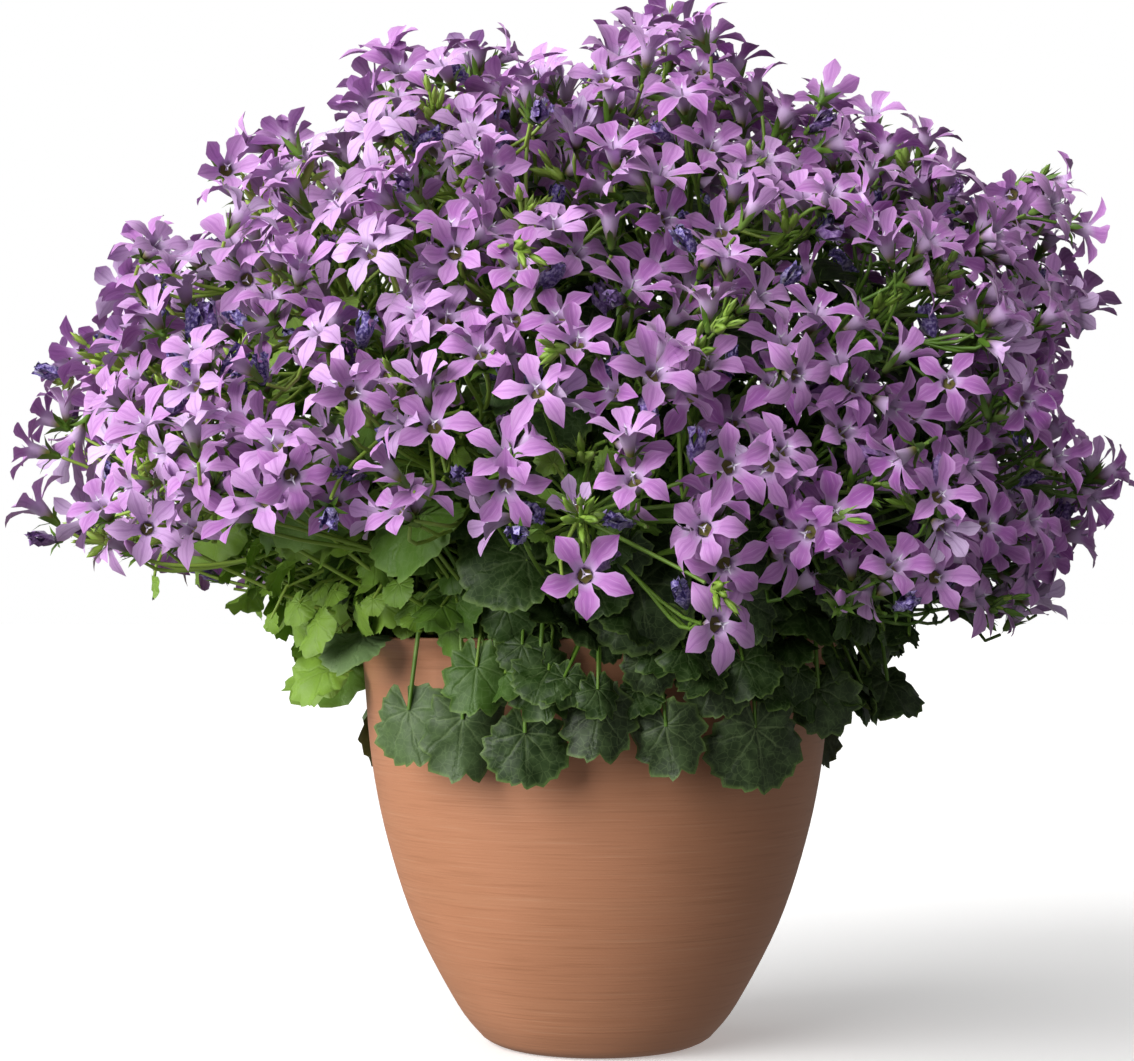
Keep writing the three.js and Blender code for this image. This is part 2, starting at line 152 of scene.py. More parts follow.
def add(tree, kind, inputs=(), stops=(), **settings):
    """Adds a node to a tree and returns its outputs. stops are the places and colours of a colour ramp.

    Inputs come in order, or by name or number. Each takes a value, a hex colour, an output or a list of
    outputs.
    """
    node = tree.nodes.new(kind)
    for name, value in settings.items():
        setattr(node, name, value)
    for key, given in inputs.items() if isinstance(inputs, dict) else enumerate(inputs):
        for value in given if isinstance(given, list) else [given]:
            if isinstance(value, bpy.types.NodeSocket):
                tree.links.new(value, node.inputs[key])
            else:
                is_colour = isinstance(value, str) and value.startswith("#")
                node.inputs[key].default_value = linear(value) if is_colour else value
    if stops:
        marks = node.color_ramp.elements
        while len(marks) < len(stops):
            marks.new(0.5)
        for mark, (place, colour) in zip(marks, stops):
            mark.position = place
            mark.color = linear(colour)
    return node.outputs


def wash(tree, under, over, value, start, end, strength=1):
    """Lays a colour over another: none of it where the value is at start, its full strength at end."""
    amount = (value, start, end, 0, strength)
    share = add(tree, "ShaderNodeMapRange", amount, interpolation_type="SMOOTHSTEP")[0]
    return add(tree, "ShaderNodeMix", {0: share, 6: under, 7: over}, data_type="RGBA")[2]


def new_finish(name, paint, roughness, **constants):
    """A material with one shader. paint builds its colour and may build a bump's normal."""
    material = bpy.data.materials.new(name)
    material.use_nodes = True
    tree = material.node_tree
    shader = tree.nodes["Principled BSDF"]
    for output, key in zip(paint(tree) if paint else (), ("Base Color", "Normal")):
        tree.links.new(output, shader.inputs[key])
    for key, value in {"Roughness": roughness, **constants}.items():
        shader.inputs[key.replace("_", " ")].default_value = value
    return material


print("violet in linear light:", [round(c, 3) for c in linear("#b878c8")])

# %% [markdown]
# ## Studio floor
# A plain pale floor under a pale sky. The floor runs far back, so that the eye finds no edge behind the
# plant. It glows a little, as a lit backdrop does, so it stays white in the picture. The pot gets neither
# bounced nor mirrored light from it, because a real sweep behind a plant would be much smaller than this
# one. The sky lights the plant with less than the camera sees of it, which keeps the shade on the right
# deep.

# %% Floor and sky
FLOOR_HALF = 30.0
SKY_LIGHT = 0.23

world = bpy.data.worlds.new("studio")
world.use_nodes = True
sky = world.node_tree.nodes["Background"]
sky.inputs["Color"].default_value = linear("#ffffff")
seen = add(world.node_tree, "ShaderNodeLightPath")["Is Camera Ray"]
strength = add(world.node_tree, "ShaderNodeMix", {0: seen, 2: SKY_LIGHT, 3: 1.0}, data_type="FLOAT")[0]
world.node_tree.links.new(strength, sky.inputs["Strength"])
bpy.context.scene.world = world
bpy.context.scene.view_settings.view_transform = "Standard"

floor = show("studio_floor", bpy.data.meshes.new("studio_floor"))
corners = [(x * FLOOR_HALF, y * FLOOR_HALF, 0) for x, y in ((-1, -1), (1, -1), (1, 1), (-1, 1))]
floor.data.from_pydata(corners, [], [(0, 1, 2, 3)])
glow = {"Emission_Color": linear("#ffffff"), "Emission_Strength": 0.3}
# Matt paint mirrors nothing, so the floor is an even white.
floor.data.materials.append(new_finish("matt_white_paint", None, 0.9, Base_Color=linear("#f4f3f2"), **glow))
floor.visible_diffuse = False
floor.visible_glossy = False
floor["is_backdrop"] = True
print("floor:", 2 * FLOOR_HALF, "m wide")

# %% [markdown]
# ## The pot
# Turned clay with a thin satin coat: a flat foot, a wall that swells up to a short neck, and a lip that
# flares. It could be a Screw modifier on a profile; spinning the profile in code gives the same mesh,
# already closed at its poles. The wall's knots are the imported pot's own sizes, and a smooth line through
# them takes its facets away.


# %% Pot profile
def spin(name, profile, steps):
    """Turns a profile of (radius, height) in millimetres round the z axis. It starts and ends on the axis."""
    points = [(0, 0, profile[0][1] * MM)]
    faces = []
    for radius, height in profile[1:-1]:
        for k in range(steps):
            angle = 2 * math.pi * k / steps
            points.append((radius * math.cos(angle) * MM, radius * math.sin(angle) * MM, height * MM))
    points.append((0, 0, profile[-1][1] * MM))
    last = len(points) - 1 - steps
    for k in range(steps):
        after = (k + 1) % steps
        faces.append((0, 1 + after, 1 + k))
        for low in range(1, last, steps):
            faces.append((low + k, low + after, low + steps + after, low + steps + k))
        faces.append((last + k, last + after, len(points) - 1))
    mesh = bpy.data.meshes.new(name)
    mesh.from_pydata(points, [], faces)
    mesh.shade_smooth()
    return mesh


def smooth_line(knots, steps):
    """More points on a smooth line through the knots (a Catmull-Rom spline)."""
    ends = [knots[0], *knots, knots[-1]]
    line = []
    for a, b, c, d in zip(ends, ends[1:], ends[2:], ends[3:]):
        for k in range(steps):
            t = k / steps
            weights = (-t + 2 * t**2 - t**3, 2 - 5 * t**2 + 3 * t**3, t + 4 * t**2 - 3 * t**3, t**3 - t**2)
            line.append(tuple(0.5 * sum(w * p[j] for w, p in zip(weights, (a, b, c, d))) for j in (0, 1)))
    return [*line, knots[-1]]


foot = [(0, 0), (32.6, 0), (33.5, 0.15), (34.6, 0.55), (36.2, 1.3)]
wall = [(38, 2.5), (46.2, 13), (59.7, 39), (68.6, 66), (73.9, 92), (76.6, 122), (78, 128), (80.6, 131.3)]
lip = [(81.2, 131.9), (81.6, 132.4), (81.6, 132.8), (81.2, 133.1), (80.6, 133.1), (79.9, 132.8)]
inside = [(78.4, 131), (75, 126), (72.9, 120), (69.6, 92), (60, 52), (41, 12)]
pot_profile = [*foot, *smooth_line(wall, 5), *lip, *smooth_line(inside, 3), (34, 9), (0, 9)]
pot = show("clay_pot", spin("clay_pot", pot_profile, 144))
print("pot faces:", len(pot.data.polygons))

# %% [markdown]
# Clay that was turned on a wheel and brushed while it turned keeps fine level marks, about 0.8 mm apart and
# a few centimetres long. A noise that is squeezed in height and drawn out along the wall gives them. Object
# coordinates are metres here, so a scale of 1250 is one mark in 0.8 mm.


# %% Turned clay
def turned_clay(tree):
    place = add(tree, "ShaderNodeTexCoord")["Object"]
    marks_at = add(tree, "ShaderNodeMapping", {"Vector": place, "Scale": (30, 30, 1250)})[0]
    fine = {"Vector": marks_at, "Scale": 1, "Detail": 3, "Roughness": 0.6}
    marks = add(tree, "ShaderNodeTexNoise", fine)[0]
    bands_at = add(tree, "ShaderNodeMapping", {"Vector": place, "Scale": (9, 9, 300)})[0]
    bands = add(tree, "ShaderNodeTexNoise", {"Vector": bands_at, "Scale": 1, "Detail": 2})[0]
    clouds = add(tree, "ShaderNodeTexNoise", {"Vector": place, "Scale": 22, "Detail": 3})[0]
    colour = wash(tree, "#b57c5a", "#bd8260", clouds, 0.3, 0.7)
    colour = wash(tree, colour, "#c08a68", bands, 0.45, 0.75, 0.25)
    colour = wash(tree, colour, "#976444", marks, 0.5, 0.75, 0.35)
    colour = wash(tree, colour, "#c99a7a", marks, 0.45, 0.25, 0.3)
    return colour, add(tree, "ShaderNodeBump", {"Height": marks, "Strength": 0.35, "Distance": 0.0003})[0]


# Earthenware scatters light widely; the thin coat on it gives a soft sheen towards the light.
pot.data.materials.append(new_finish("turned_earthenware", turned_clay, 0.5, Specular_IOR_Level=0.45))
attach(pot, "root")
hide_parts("pot")
print("pot wears", pot.data.materials[0].name)

# %% [markdown]
# ## Reading the plant's places
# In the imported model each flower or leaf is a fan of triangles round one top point, on a thin three-sided
# stalk. So a vertex with 10 or 14 faces is a top, the vertices round it are the outline, the three below
# them are the neck, and the rings further down lead to the fork on the stem. Reading them here keeps every
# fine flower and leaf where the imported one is.

# %% Read tufts from a node
FAN_FACES = 10
RIM_FAN_FACES = 14


def middle_of(points):
    return sum(points, Vector()) / max(len(points), 1)


def read_tufts(node):
    """The flowers and leaves of a node: top, facing, arms and the stalk's line from fork to neck, in mm."""
    mesh = frame["nodes"][node].data
    numbers, corner, points, fans = {}, [], {}, {}
    for vertex in mesh.vertices:
        key = tuple(round(c * 1e6) for c in vertex.co)
        corner.append(numbers.setdefault(key, len(numbers)))
        points[corner[-1]] = vertex.co / MM
    for face in mesh.polygons:
        loop = [corner[v] for v in face.vertices]
        for k in range(3):
            fans.setdefault(loop[k], []).append((loop[k - 2], loop[k - 1]))
    tufts = []
    for number, fan in fans.items():
        if len(fan) not in (FAN_FACES, RIM_FAN_FACES):
            continue
        top, outline = points[number], [a for a, _ in fan]
        seen = {number, *outline}
        around = {n for o in outline for pair in fans[o] for n in pair} - seen
        if len(around) != 3:
            continue
        line = []
        while len(around) == 3:
            line.append(middle_of([points[n] for n in around]))
            seen |= around
            around = {n for o in around for pair in fans[o] for n in pair} - seen
        line.append(middle_of([points[n] for n in around]))
        facing = sum(((points[a] - top).cross(points[b] - top) for a, b in fan), Vector()).normalized()
        is_hollow_side_up = (top - middle_of([points[o] for o in outline])).dot(facing) < 0
        kind = "rim leaf" if len(fan) == RIM_FAN_FACES else "flower" if is_hollow_side_up else "leaf"
        arms = [points[o] - top for o in outline]
        tufts.append({"kind": kind, "top": top, "facing": facing, "arms": arms, "line": line[::-1]})
    return tufts


SPRAYS = sorted(n for n in frame["nodes"] if n.startswith("flower_spray"))
SHOOTS = sorted(n for n in frame["nodes"] if n.startswith("leafy_shoot"))
tufts_of = {node: read_tufts(node) for node in SPRAYS + SHOOTS}
for kind in ("flower", "leaf", "rim leaf"):
    print(kind, sum(t["kind"] == kind for tufts in tufts_of.values() for t in tufts))

# %% [markdown]
# ## The rule that the mound follows
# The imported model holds 256 flowers, far fewer than the real mound carries. The extra ones follow the same
# rule: directions spread evenly by the golden angle over a dome that bulges where the photograph's outline
# does. Seeded draws keep every run the same. Lengths are in millimetres here. The stems are worked out
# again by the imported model's formula, so that new stalks can leave them anywhere.

# %% Dome rule
DOME_MIDDLE = Vector((-5, 0, 150))
DOME_RADIUS = 178
DOME_DEPTH_SHARE = 0.94
DOME_EDGES = [(-180, 90), (-90, 86), (-35, 84), (-10, 86), (10, 91), (60, 93), (90, 91), (180, 90)]
GOLDEN_ANGLE = math.radians(137.50776)
BULGES = [(-86, -10), (-76, 2), (-66, 18), (-53, 10), (-45, -6), (-36, 12), (-28, -12), (-18, 8)]
BULGES += [(-2, -12), (9, 24), (18, 0), (30, 8), (42, 18), (51, 28), (58, 10), (70, -20), (80, 6), (90, -20)]
BULGE_WIDTH = 6
BULGE_DEPTH = 0.5


def lerp(a, b, share):
    return a + (b - a) * share


def dice(kind, i, low=0, high=1):
    """A repeatable number from low to high for item i of a kind."""
    wave = math.sin(kind * 127.1 + i * 311.7) * 43758.5453
    return lerp(low, high, wave - math.floor(wave))


def jitter(kind, i, size):
    return Vector([dice(kind + 0.1 * k, i, -1, 1) * size for k in (1, 2, 3)])


def heading(around):
    """The level direction at a turn round the z axis."""
    return Vector((math.cos(around), math.sin(around), 0))


def dome_edge(around):
    """How low the flowers come at a turn round the pot, as an angle from straight up."""
    side = math.degrees(math.atan2(math.cos(around), -math.sin(around)))
    return math.radians(np.interp(side, *zip(*DOME_EDGES)))


def aloft(around, height):
    """The direction of length one at a turn round the z axis that rises to a height."""
    level = math.sqrt(max(1 - height * height, 0))
    return Vector((level * math.cos(around), level * math.sin(around), height))


def dome_direction(i, count, turn):
    """Direction i of count, spread evenly. The dome comes lower at the right than at the left."""
    around = i * GOLDEN_ANGLE + math.radians(turn)
    return aloft(around, 1 - (i + 0.5) / count * (1 - math.cos(dome_edge(around))))


def reach(direction):
    """How far out the flowers stand in a direction. The bulges fade to the front and back."""
    side = math.degrees(math.atan2(direction.x, direction.z))
    facing = math.exp(-((direction.y / BULGE_DEPTH) ** 2))
    bulge = sum(rise * math.exp(-(((side - at) / BULGE_WIDTH) ** 2)) for at, rise in BULGES)
    return DOME_RADIUS + facing * bulge


def on_dome(direction, radius):
    point = direction * radius
    point.y *= DOME_DEPTH_SHARE
    return point + DOME_MIDDLE


print("highest flowers:", round(on_dome(UP, reach(UP)).z), "mm")

# %% Stems
SOIL_LEVEL = 120
ROOT_LEVEL = SOIL_LEVEL - 6
CROWN_RADIUS = 58
STEM_END_DEPTH = 34


def bezier(a, b, c, d, steps):
    """Points on a cubic curve."""
    line = []
    for k in range(steps + 1):
        t = k / steps
        line.append(a * (1 - t) ** 3 + b * 3 * t * (1 - t) ** 2 + c * 3 * t**2 * (1 - t) + d * t**3)
    return line


def make_spray(i):
    """A flowering stem. Those that lean far out leave the soil lower and arch more."""
    direction = dome_direction(i, len(SPRAYS), 0)
    stagger = 10 * dice(1, i, -1, 1)
    out = Vector((direction.x, direction.y, 0)).normalized()
    spread = 1 - direction.z
    root = out * CROWN_RADIUS * math.sqrt((i + 0.5) / len(SPRAYS)) + UP * ROOT_LEVEL
    tip = on_dome(direction, reach(direction) + stagger - STEM_END_DEPTH)
    rise = root + UP * (52 - 14 * spread) + out * 8 * spread
    lead = tip - direction * 0.36 * DOME_RADIUS + UP * 16 * spread
    stem = bezier(root, rise, lead, tip, 26)
    return {"node": SPRAYS[i], "direction": direction, "stagger": stagger, "stem": stem}


def make_shoot(i):
    """A short leafy stem at the edge of the crown. It stands nearly upright."""
    out = heading(2 * math.pi * (i + 0.35 * dice(11, i)) / len(SHOOTS))
    root = out * 64.5 + UP * ROOT_LEVEL
    top = out * 73 + UP * dice(12, i, 156, 162)
    return {"node": SHOOTS[i], "direction": out, "stem": bezier(root, root + UP * 14, top - UP * 16, top, 8)}


sprays = [make_spray(i) for i in range(len(SPRAYS))]
shoots = [make_shoot(i) for i in range(len(SHOOTS))]
print("stems:", len(sprays), "flowering,", len(shoots), "leafy")


# %% [markdown]
# ## Fine shapes
# A bellflower's corolla is one funnel that opens into five pointed lobes, each with a crease down the
# middle. Five sculpted petals would cost too much for 1,500 flowers, so a flower is a ring mesh of about 80
# faces, shaded smooth. Each point remembers how far out it is (along) and how far off the crease (across),
# and the material paints by that. Two of the shapes are withered: the same mesh with its lobes folded in
# and every point shaken.

# %% Flower shapes
FUNNEL = ((1.1, -9.2, 0.1), (2.1, -5.4, 0.2), (3.0, -2.0, 0.42))  # radius, height and along of each ring
LOBE = ((0.2, 2.0), (0.42, 3.2), (0.63, 3.05), (0.84, 1.4), (1, 0))  # share of the length, half width
LOBE_LENGTH = 10.5
STIGMA = 1.5  # the value of along on the stigma, where the material paints it pale


def new_shape(name, points, faces, **values):
    """A mesh from points in millimetres, with a named number on each point for the material."""
    mesh = bpy.data.meshes.new(name)
    mesh.from_pydata([Vector(p) * MM for p in points], [], faces)
    for key, numbers in values.items():
        kind = "FLOAT_VECTOR" if hasattr(numbers[0], "__len__") else "FLOAT"
        stored = mesh.attributes.new(key, kind, "POINT")
        flat = np.array(numbers, np.float32).ravel()
        stored.data.foreach_set("vector" if kind == "FLOAT_VECTOR" else "value", flat)
    mesh.update()
    return bpy.data.objects.new(name, mesh)


def ring_point(radius, angle, height):
    return Vector((radius * math.cos(angle), radius * math.sin(angle), height))


def flower_shape(name, seed, lift, curl, width, fold, wilt=0.0, crumple=0.0):
    """A corolla, mouth at the origin, facing +z. lift raises its lobes (degrees), curl bends the tips down."""
    points, faces, along, across = [], [], [], []

    def add_point(angle, radius, height, far, off):
        points.append(ring_point(radius, angle, height) + jitter(seed + 0.5, len(points), 0.12 + crumple))
        along.append(far)
        across.append(off)
        return len(points) - 1

    rings = []
    for radius, height, far in FUNNEL:
        notch = 0.92 if height == FUNNEL[-1][1] else 1
        shares = (1, notch) * 5
        rings.append([add_point(k * math.pi / 5, radius * shares[k], height, far, k % 2) for k in range(10)])
    for low, high in zip(rings, rings[1:]):
        faces += [(low[k], low[(k + 1) % 10], high[(k + 1) % 10], high[k]) for k in range(10)]
    for petal in range(5):
        middle = petal * 2 * math.pi / 5 + 0.12 * dice(seed, petal, -1, 1)
        tilt = math.radians(lift + 16 * dice(seed + 0.3, petal, -1, 1))
        length = LOBE_LENGTH * (1 + 0.09 * dice(seed + 0.7, petal, -1, 1))
        bend = 0.16 * dice(seed + 0.9, petal, -1, 1)
        row = [rings[-1][(2 * petal + k) % 10] for k in (-1, 0, 1)]
        for share, half in LOBE:
            left, centre, right = row
            far = share * length
            radius = FUNNEL[-1][0] + far * math.cos(tilt) - 0.5 * curl * share**2 * math.sin(tilt)
            arch = 0.8 * math.sin(math.pi * share) - curl * share**2.5
            height = FUNNEL[-1][1] + far * math.sin(tilt) + arch
            swung = middle + bend * share**2
            if half == 0:
                tip = add_point(swung, radius, height, 1, 0)
                faces += [(left, centre, tip), (centre, right, tip)]
                break
            row = []
            for side in (-1, 0, 1):
                swing = side * math.atan2(half * width, radius)
                out = math.hypot(radius, half * width) if side else radius
                raised = height + fold * half * abs(side)
                row.append(add_point(swung + swing, out, raised, 0.4 + 0.6 * share, side))
            faces += [(left, centre, row[1], row[0]), (centre, right, row[2], row[1])]
    if not wilt:
        heart = add_point(0, 0, -4.6, 0, 0)
        edge = [add_point(k * 2 * math.pi / 5, 2.2, -5.0, 0.15, 0) for k in range(5)]
        faces += [(heart, edge[k], edge[(k + 1) % 5]) for k in range(5)]
        stalk = [add_point(k * 2.1, 0.35, -4.8, STIGMA, 0) for k in range(3)]
        head = [add_point(k * 2.1, 0.4, -0.4, STIGMA, 0) for k in range(3)]
        faces += [(stalk[k], stalk[(k + 1) % 3], head[(k + 1) % 3], head[k]) for k in range(3)]
        for k in range(3):
            end = add_point(k * 2.1 + 1.05, 1.7, 0.9, STIGMA, 0)
            faces.append((head[k], head[(k + 1) % 3], end))
    return new_shape(name, points, faces, along=along, across=across, wilt=[wilt] * len(points))


print("rings of a funnel:", len(FUNNEL), "rows of a lobe:", len(LOBE))

# %% [markdown]
# Buds are closed forms that stand on their calyx. The violet ones are pleated corollas, and the green ones
# are five sepals that haven't opened yet. Under each corolla sits a small green cup with five narrow
# sepals. Cups and green buds are green like the stems, so they go into the same pieces as the stalks.

# %% Buds and cups
BUD_DEPTH = 9.5  # a bud's foot lies this far below the mouth that the open flower would have
CUP_DEPTH = 12.4  # and a cup's foot this far


def closed_bud(rows, sides, length, girth, pleat):
    """Points and faces of a bud. rows are shares of length and girth; pleat draws every other side in."""
    points, faces = [(0, 0, -BUD_DEPTH)], []
    for share, size in rows:
        for k in range(sides):
            radius = girth * size * (pleat if k % 2 else 1)
            points.append(ring_point(radius, 2 * math.pi * k / sides, length * share - BUD_DEPTH))
    points.append((0, 0, length - BUD_DEPTH))
    last = len(points) - 1 - sides
    for k in range(sides):
        after = (k + 1) % sides
        faces += [(0, 1 + after, 1 + k), (last + k, last + after, len(points) - 1)]
        for low in range(1, last, sides):
            faces.append((low + k, low + after, low + sides + after, low + sides + k))
    return points, faces


def violet_bud_shape(name, length, girth, tip_along):
    points, faces = closed_bud(((0.15, 0.6), (0.45, 1), (0.75, 0.7), (0.93, 0.25)), 10, length, girth, 0.78)
    along = [lerp(0.4, tip_along, (p[2] + BUD_DEPTH) / length) for p in points]
    return new_shape(name, points, faces, along=along, across=[0.5] * len(points), wilt=[0.0] * len(points))


def green_bud_shape(name, length, girth):
    points, faces = closed_bud(((0.2, 0.8), (0.5, 1), (0.8, 0.5)), 5, length, girth, 1)
    for k in range(5):
        out = heading(2 * math.pi * (k + 0.3) / 5)
        side = Vector((-out.y, out.x, 0))
        first = len(points)
        base = out * girth * 0.7 + UP * (0.25 * length - BUD_DEPTH)
        points += [base - side * 0.7, base + side * 0.7, base + out * 1.5 + UP * length * 0.62]
        faces.append((first, first + 1, first + 2))
    return new_shape(name, points, faces)


def cup_shape(name, spread, length):
    """The cup under a flower with its five sepals. spread leans them out, in degrees."""
    points, faces = [(0, 0, -CUP_DEPTH)], []
    for radius, height in ((1.1, -11.4), (1.7, -9.2)):
        points += [ring_point(radius, 2 * math.pi * (k + 0.5) / 5, height) for k in range(5)]
    lean = math.radians(spread)
    for k in range(5):
        after = (k + 1) % 5
        faces += [(0, 1 + after, 1 + k), (1 + k, 1 + after, 6 + after, 6 + k)]
        out = heading(2 * math.pi * (k + 1) / 5)
        side = Vector((-out.y, out.x, 0))
        base = out * 1.45 + UP * -9.2
        middle = base + (out * math.sin(lean) + UP * math.cos(lean)) * 0.5 * length
        tip = base + (out * math.sin(lean * 1.25) + UP * math.cos(lean * 1.25)) * length
        first = len(points)
        points += [middle - side * 0.85, middle + out * 0.25, middle + side * 0.85, tip]
        faces += [(6 + k, first + 1, first), (6 + k, 6 + after, first + 1), (6 + after, first + 2, first + 1)]
        faces += [(first, first + 1, first + 3), (first + 1, first + 2, first + 3)]
    return new_shape(name, points, faces)


PETAL_KINDS = [
    flower_shape("a_open_star", 21, 12, 2.2, 1, 0.3),
    flower_shape("b_cupped_star", 22, 30, 1.8, 1.04, 0.34),
    flower_shape("c_wide_star", 23, -2, 2.4, 0.96, 0.2),
    flower_shape("d_loose_star", 24, 20, 3.8, 1, -0.12),
    flower_shape("e_narrow_star", 25, 24, 1.0, 0.84, 0.38),
    flower_shape("f_rolled_star", 26, 10, 4.4, 1.05, -0.2),
    flower_shape("g_half_open", 27, 48, 1.0, 0.94, 0.3),
    flower_shape("h_young_bell", 28, 66, 0.4, 0.82, 0.2),
    flower_shape("i_withered", 29, 84, 3.5, 0.5, 0.5, wilt=1, crumple=0.9),
    flower_shape("j_shrivelled", 30, 100, 4.5, 0.42, 0.6, wilt=1, crumple=1.1),
    violet_bud_shape("k_violet_bud", 13, 2.3, 0.9),
]
STARS, HALF_OPEN, YOUNG_BELL, WITHERED, VIOLET_BUD = (0, 1, 2, 3, 4, 5), 6, 7, (8, 9), 10
GREEN_KINDS = [
    cup_shape("a_spread_cup", 52, 6.2),
    cup_shape("b_upright_cup", 30, 6.8),
    green_bud_shape("c_green_bud", 9, 1.9),
    green_bud_shape("d_slim_bud", 11, 1.5),
]
CUPS, GREEN_BUDS = (0, 1), (2, 3)
print("faces of an open flower:", len(PETAL_KINDS[0].data.polygons))
print("faces of a cup:", len(GREEN_KINDS[0].data.polygons))

# %% [markdown]
# The leaves are toothed hearts, nearly round, with the stalk in a cleft. A leaf is a fan with one ring
# inside its outline, so that the blade can dish and ripple. Each point keeps its place on the flat blade,
# in half widths, and the material draws the veins from that.

# %% Leaf shapes
CLEFT = 0.36  # how far the cleft's end is from the middle, in half widths
STALK_END = 0.34  # the stalk ends just inside it


def leaf_shape(name, seed, teeth, ripple, stretch, notch):
    """A blade one millimetre from its middle to its side. +y is its tip, and +z its upper face."""
    points, blade, faces = [(0, 0, 0.05)], [(0, 0, 0)], []

    def add_point(angle, share, height, edge):
        x, y = share * math.sin(angle), stretch * share * math.cos(angle)
        points.append((x, y, height))
        blade.append((x, y, edge))

    cleft = (teeth + 1) // 2
    for k in range(teeth):
        angle = 2 * math.pi * (k - 0.5) / teeth
        height = ripple * (0.07 * math.sin(3 * angle + seed) - 0.015 * (-1) ** k)
        add_point(angle, STALK_END if k == cleft else 0.6, height, 0.6)
    for k in range(teeth):
        size = 1 + 0.06 * dice(seed, k, -1, 1)
        depth = notch * dice(seed + 0.5, k, 0.4, 1.5)
        tooth = ((-0.5, 1 - depth), (-0.2, 1 - 0.2 * depth), (0.12, 1 + 0.6 * notch), (0.3, 1 - 0.25 * depth))
        for step, share in tooth:
            angle = 2 * math.pi * (k + step) / teeth
            wave = 0.12 * math.sin(2 * angle + seed * 3) + 0.05 * math.sin(5 * angle + seed)
            if k == cleft and step == -0.5:
                add_point(angle, CLEFT, 0, 1)
            else:
                add_point(angle, share * size, -0.15 + ripple * wave, 1)
    for k in range(teeth):
        inner, inner_after = 1 + k, 1 + (k + 1) % teeth
        outer = [1 + teeth + (4 * k + j) % (4 * teeth) for j in range(5)]
        faces += [(0, inner_after, inner), (inner, outer[1], outer[0]), (inner, outer[2], outer[1])]
        faces += [(inner, inner_after, outer[2]), (inner_after, outer[3], outer[2])]
        faces.append((inner_after, outer[4], outer[3]))
    return new_shape(name, points, faces, blade=blade)


LEAF_KINDS = [
    leaf_shape("a_broad_leaf", 31, 19, 1.0, 0.88, 0.05),
    leaf_shape("b_broad_leaf", 32, 17, 1.4, 0.92, 0.07),
    leaf_shape("c_stem_leaf", 33, 13, 1.8, 0.98, 0.09),
    leaf_shape("d_stem_leaf", 34, 11, 2.2, 1.1, 0.12),
    leaf_shape("e_narrow_leaf", 35, 5, 1.8, 1.6, 0.2),
]
BROAD, SMALL, NARROW = (0, 1), (2, 3), 4
print("faces of a broad leaf:", len(LEAF_KINDS[0].data.polygons))

# %% [markdown]
# ## One tree that grows everything
# A plan is a mesh of loose points and of lines. Each loose point says which shape stands there, how it is
# turned and how large it is; each line is a stalk with a thickness at every point. The tree turns lines
# into tubes and puts shapes on points. That is quicker than copying meshes in Python, and its named inputs
# can be changed by hand.


# %% The growing tree
PLAN_VALUES = {"thickness": "FLOAT", "size": "FLOAT", "tint": "FLOAT", "kind": "INT", "turn": "QUATERNION"}


def new_growing_tree():
    tree = bpy.data.node_groups.new("grow_from_plan", "GeometryNodeTree")
    inputs = {"Plan": "Geometry", "Shapes": "Collection", "Sides of stalk": "Int", "Size spread": "Float"}
    inputs |= {"Seed": "Int", "Finish": "Material"}
    for name, kind in inputs.items():
        tree.interface.new_socket(name, in_out="INPUT", socket_type="NodeSocket" + kind)
    tree.interface.new_socket("Piece", in_out="OUTPUT", socket_type="NodeSocketGeometry")
    given = add(tree, "NodeGroupInput")
    thickness, size, kind, turn = [
        add(tree, "GeometryNodeInputNamedAttribute", {"Name": name}, data_type=data_type)[0]
        for name, data_type in PLAN_VALUES.items()
        if name != "tint"
    ]
    lines = add(tree, "GeometryNodeMeshToCurve", {"Mesh": given["Plan"]})[0]
    sides = {"Resolution": given["Sides of stalk"], "Radius": 1.0}
    outline = add(tree, "GeometryNodeCurvePrimitiveCircle", sides)[0]
    tube = {"Curve": lines, "Profile Curve": outline, "Scale": thickness, "Fill Caps": True}
    tubes = add(tree, "GeometryNodeCurveToMesh", tube)[0]
    shelf_of = {"Collection": given["Shapes"], "Separate Children": True, "Reset Children": True}
    shapes = add(tree, "GeometryNodeCollectionInfo", shelf_of)[0]
    not_below = {"data_type": "INT", "operation": "GREATER_EQUAL"}
    is_place = add(tree, "FunctionNodeCompare", {2: kind, 3: 0}, **not_below)[0]
    smallest = add(tree, "ShaderNodeMath", (1.0, given["Size spread"]), operation="SUBTRACT")[0]
    largest = add(tree, "ShaderNodeMath", (1.0, given["Size spread"]), operation="ADD")[0]
    limits = {2: smallest, 3: largest, "Seed": given["Seed"]}
    drawn = add(tree, "FunctionNodeRandomValue", limits, data_type="FLOAT")[1]
    scale = add(tree, "ShaderNodeMath", (size, drawn), operation="MULTIPLY")[0]
    place = {"Points": given["Plan"], "Selection": is_place, "Instance": shapes, "Pick Instance": True}
    place |= {"Instance Index": kind, "Rotation": turn, "Scale": scale}
    placed = add(tree, "GeometryNodeInstanceOnPoints", place)[0]
    joined = add(tree, "GeometryNodeJoinGeometry", {0: [tubes, placed]})[0]
    real = add(tree, "GeometryNodeRealizeInstances", (joined,))[0]
    smooth = add(tree, "GeometryNodeSetShadeSmooth", (real,))[0]
    finished = add(tree, "GeometryNodeSetMaterial", {0: smooth, "Material": given["Finish"]})[0]
    add(tree, "NodeGroupOutput", (finished,))
    return tree


growing_tree = new_growing_tree()
print("tree inputs:", [i.name for i in growing_tree.interface.items_tree if i.in_out == "INPUT"])

# %% Plans
NO_SHAPE, NO_TURN = -1, (1, 0, 0, 0)


def new_plan():
    return {key: [] for key in ("points", *PLAN_VALUES, "edges")}


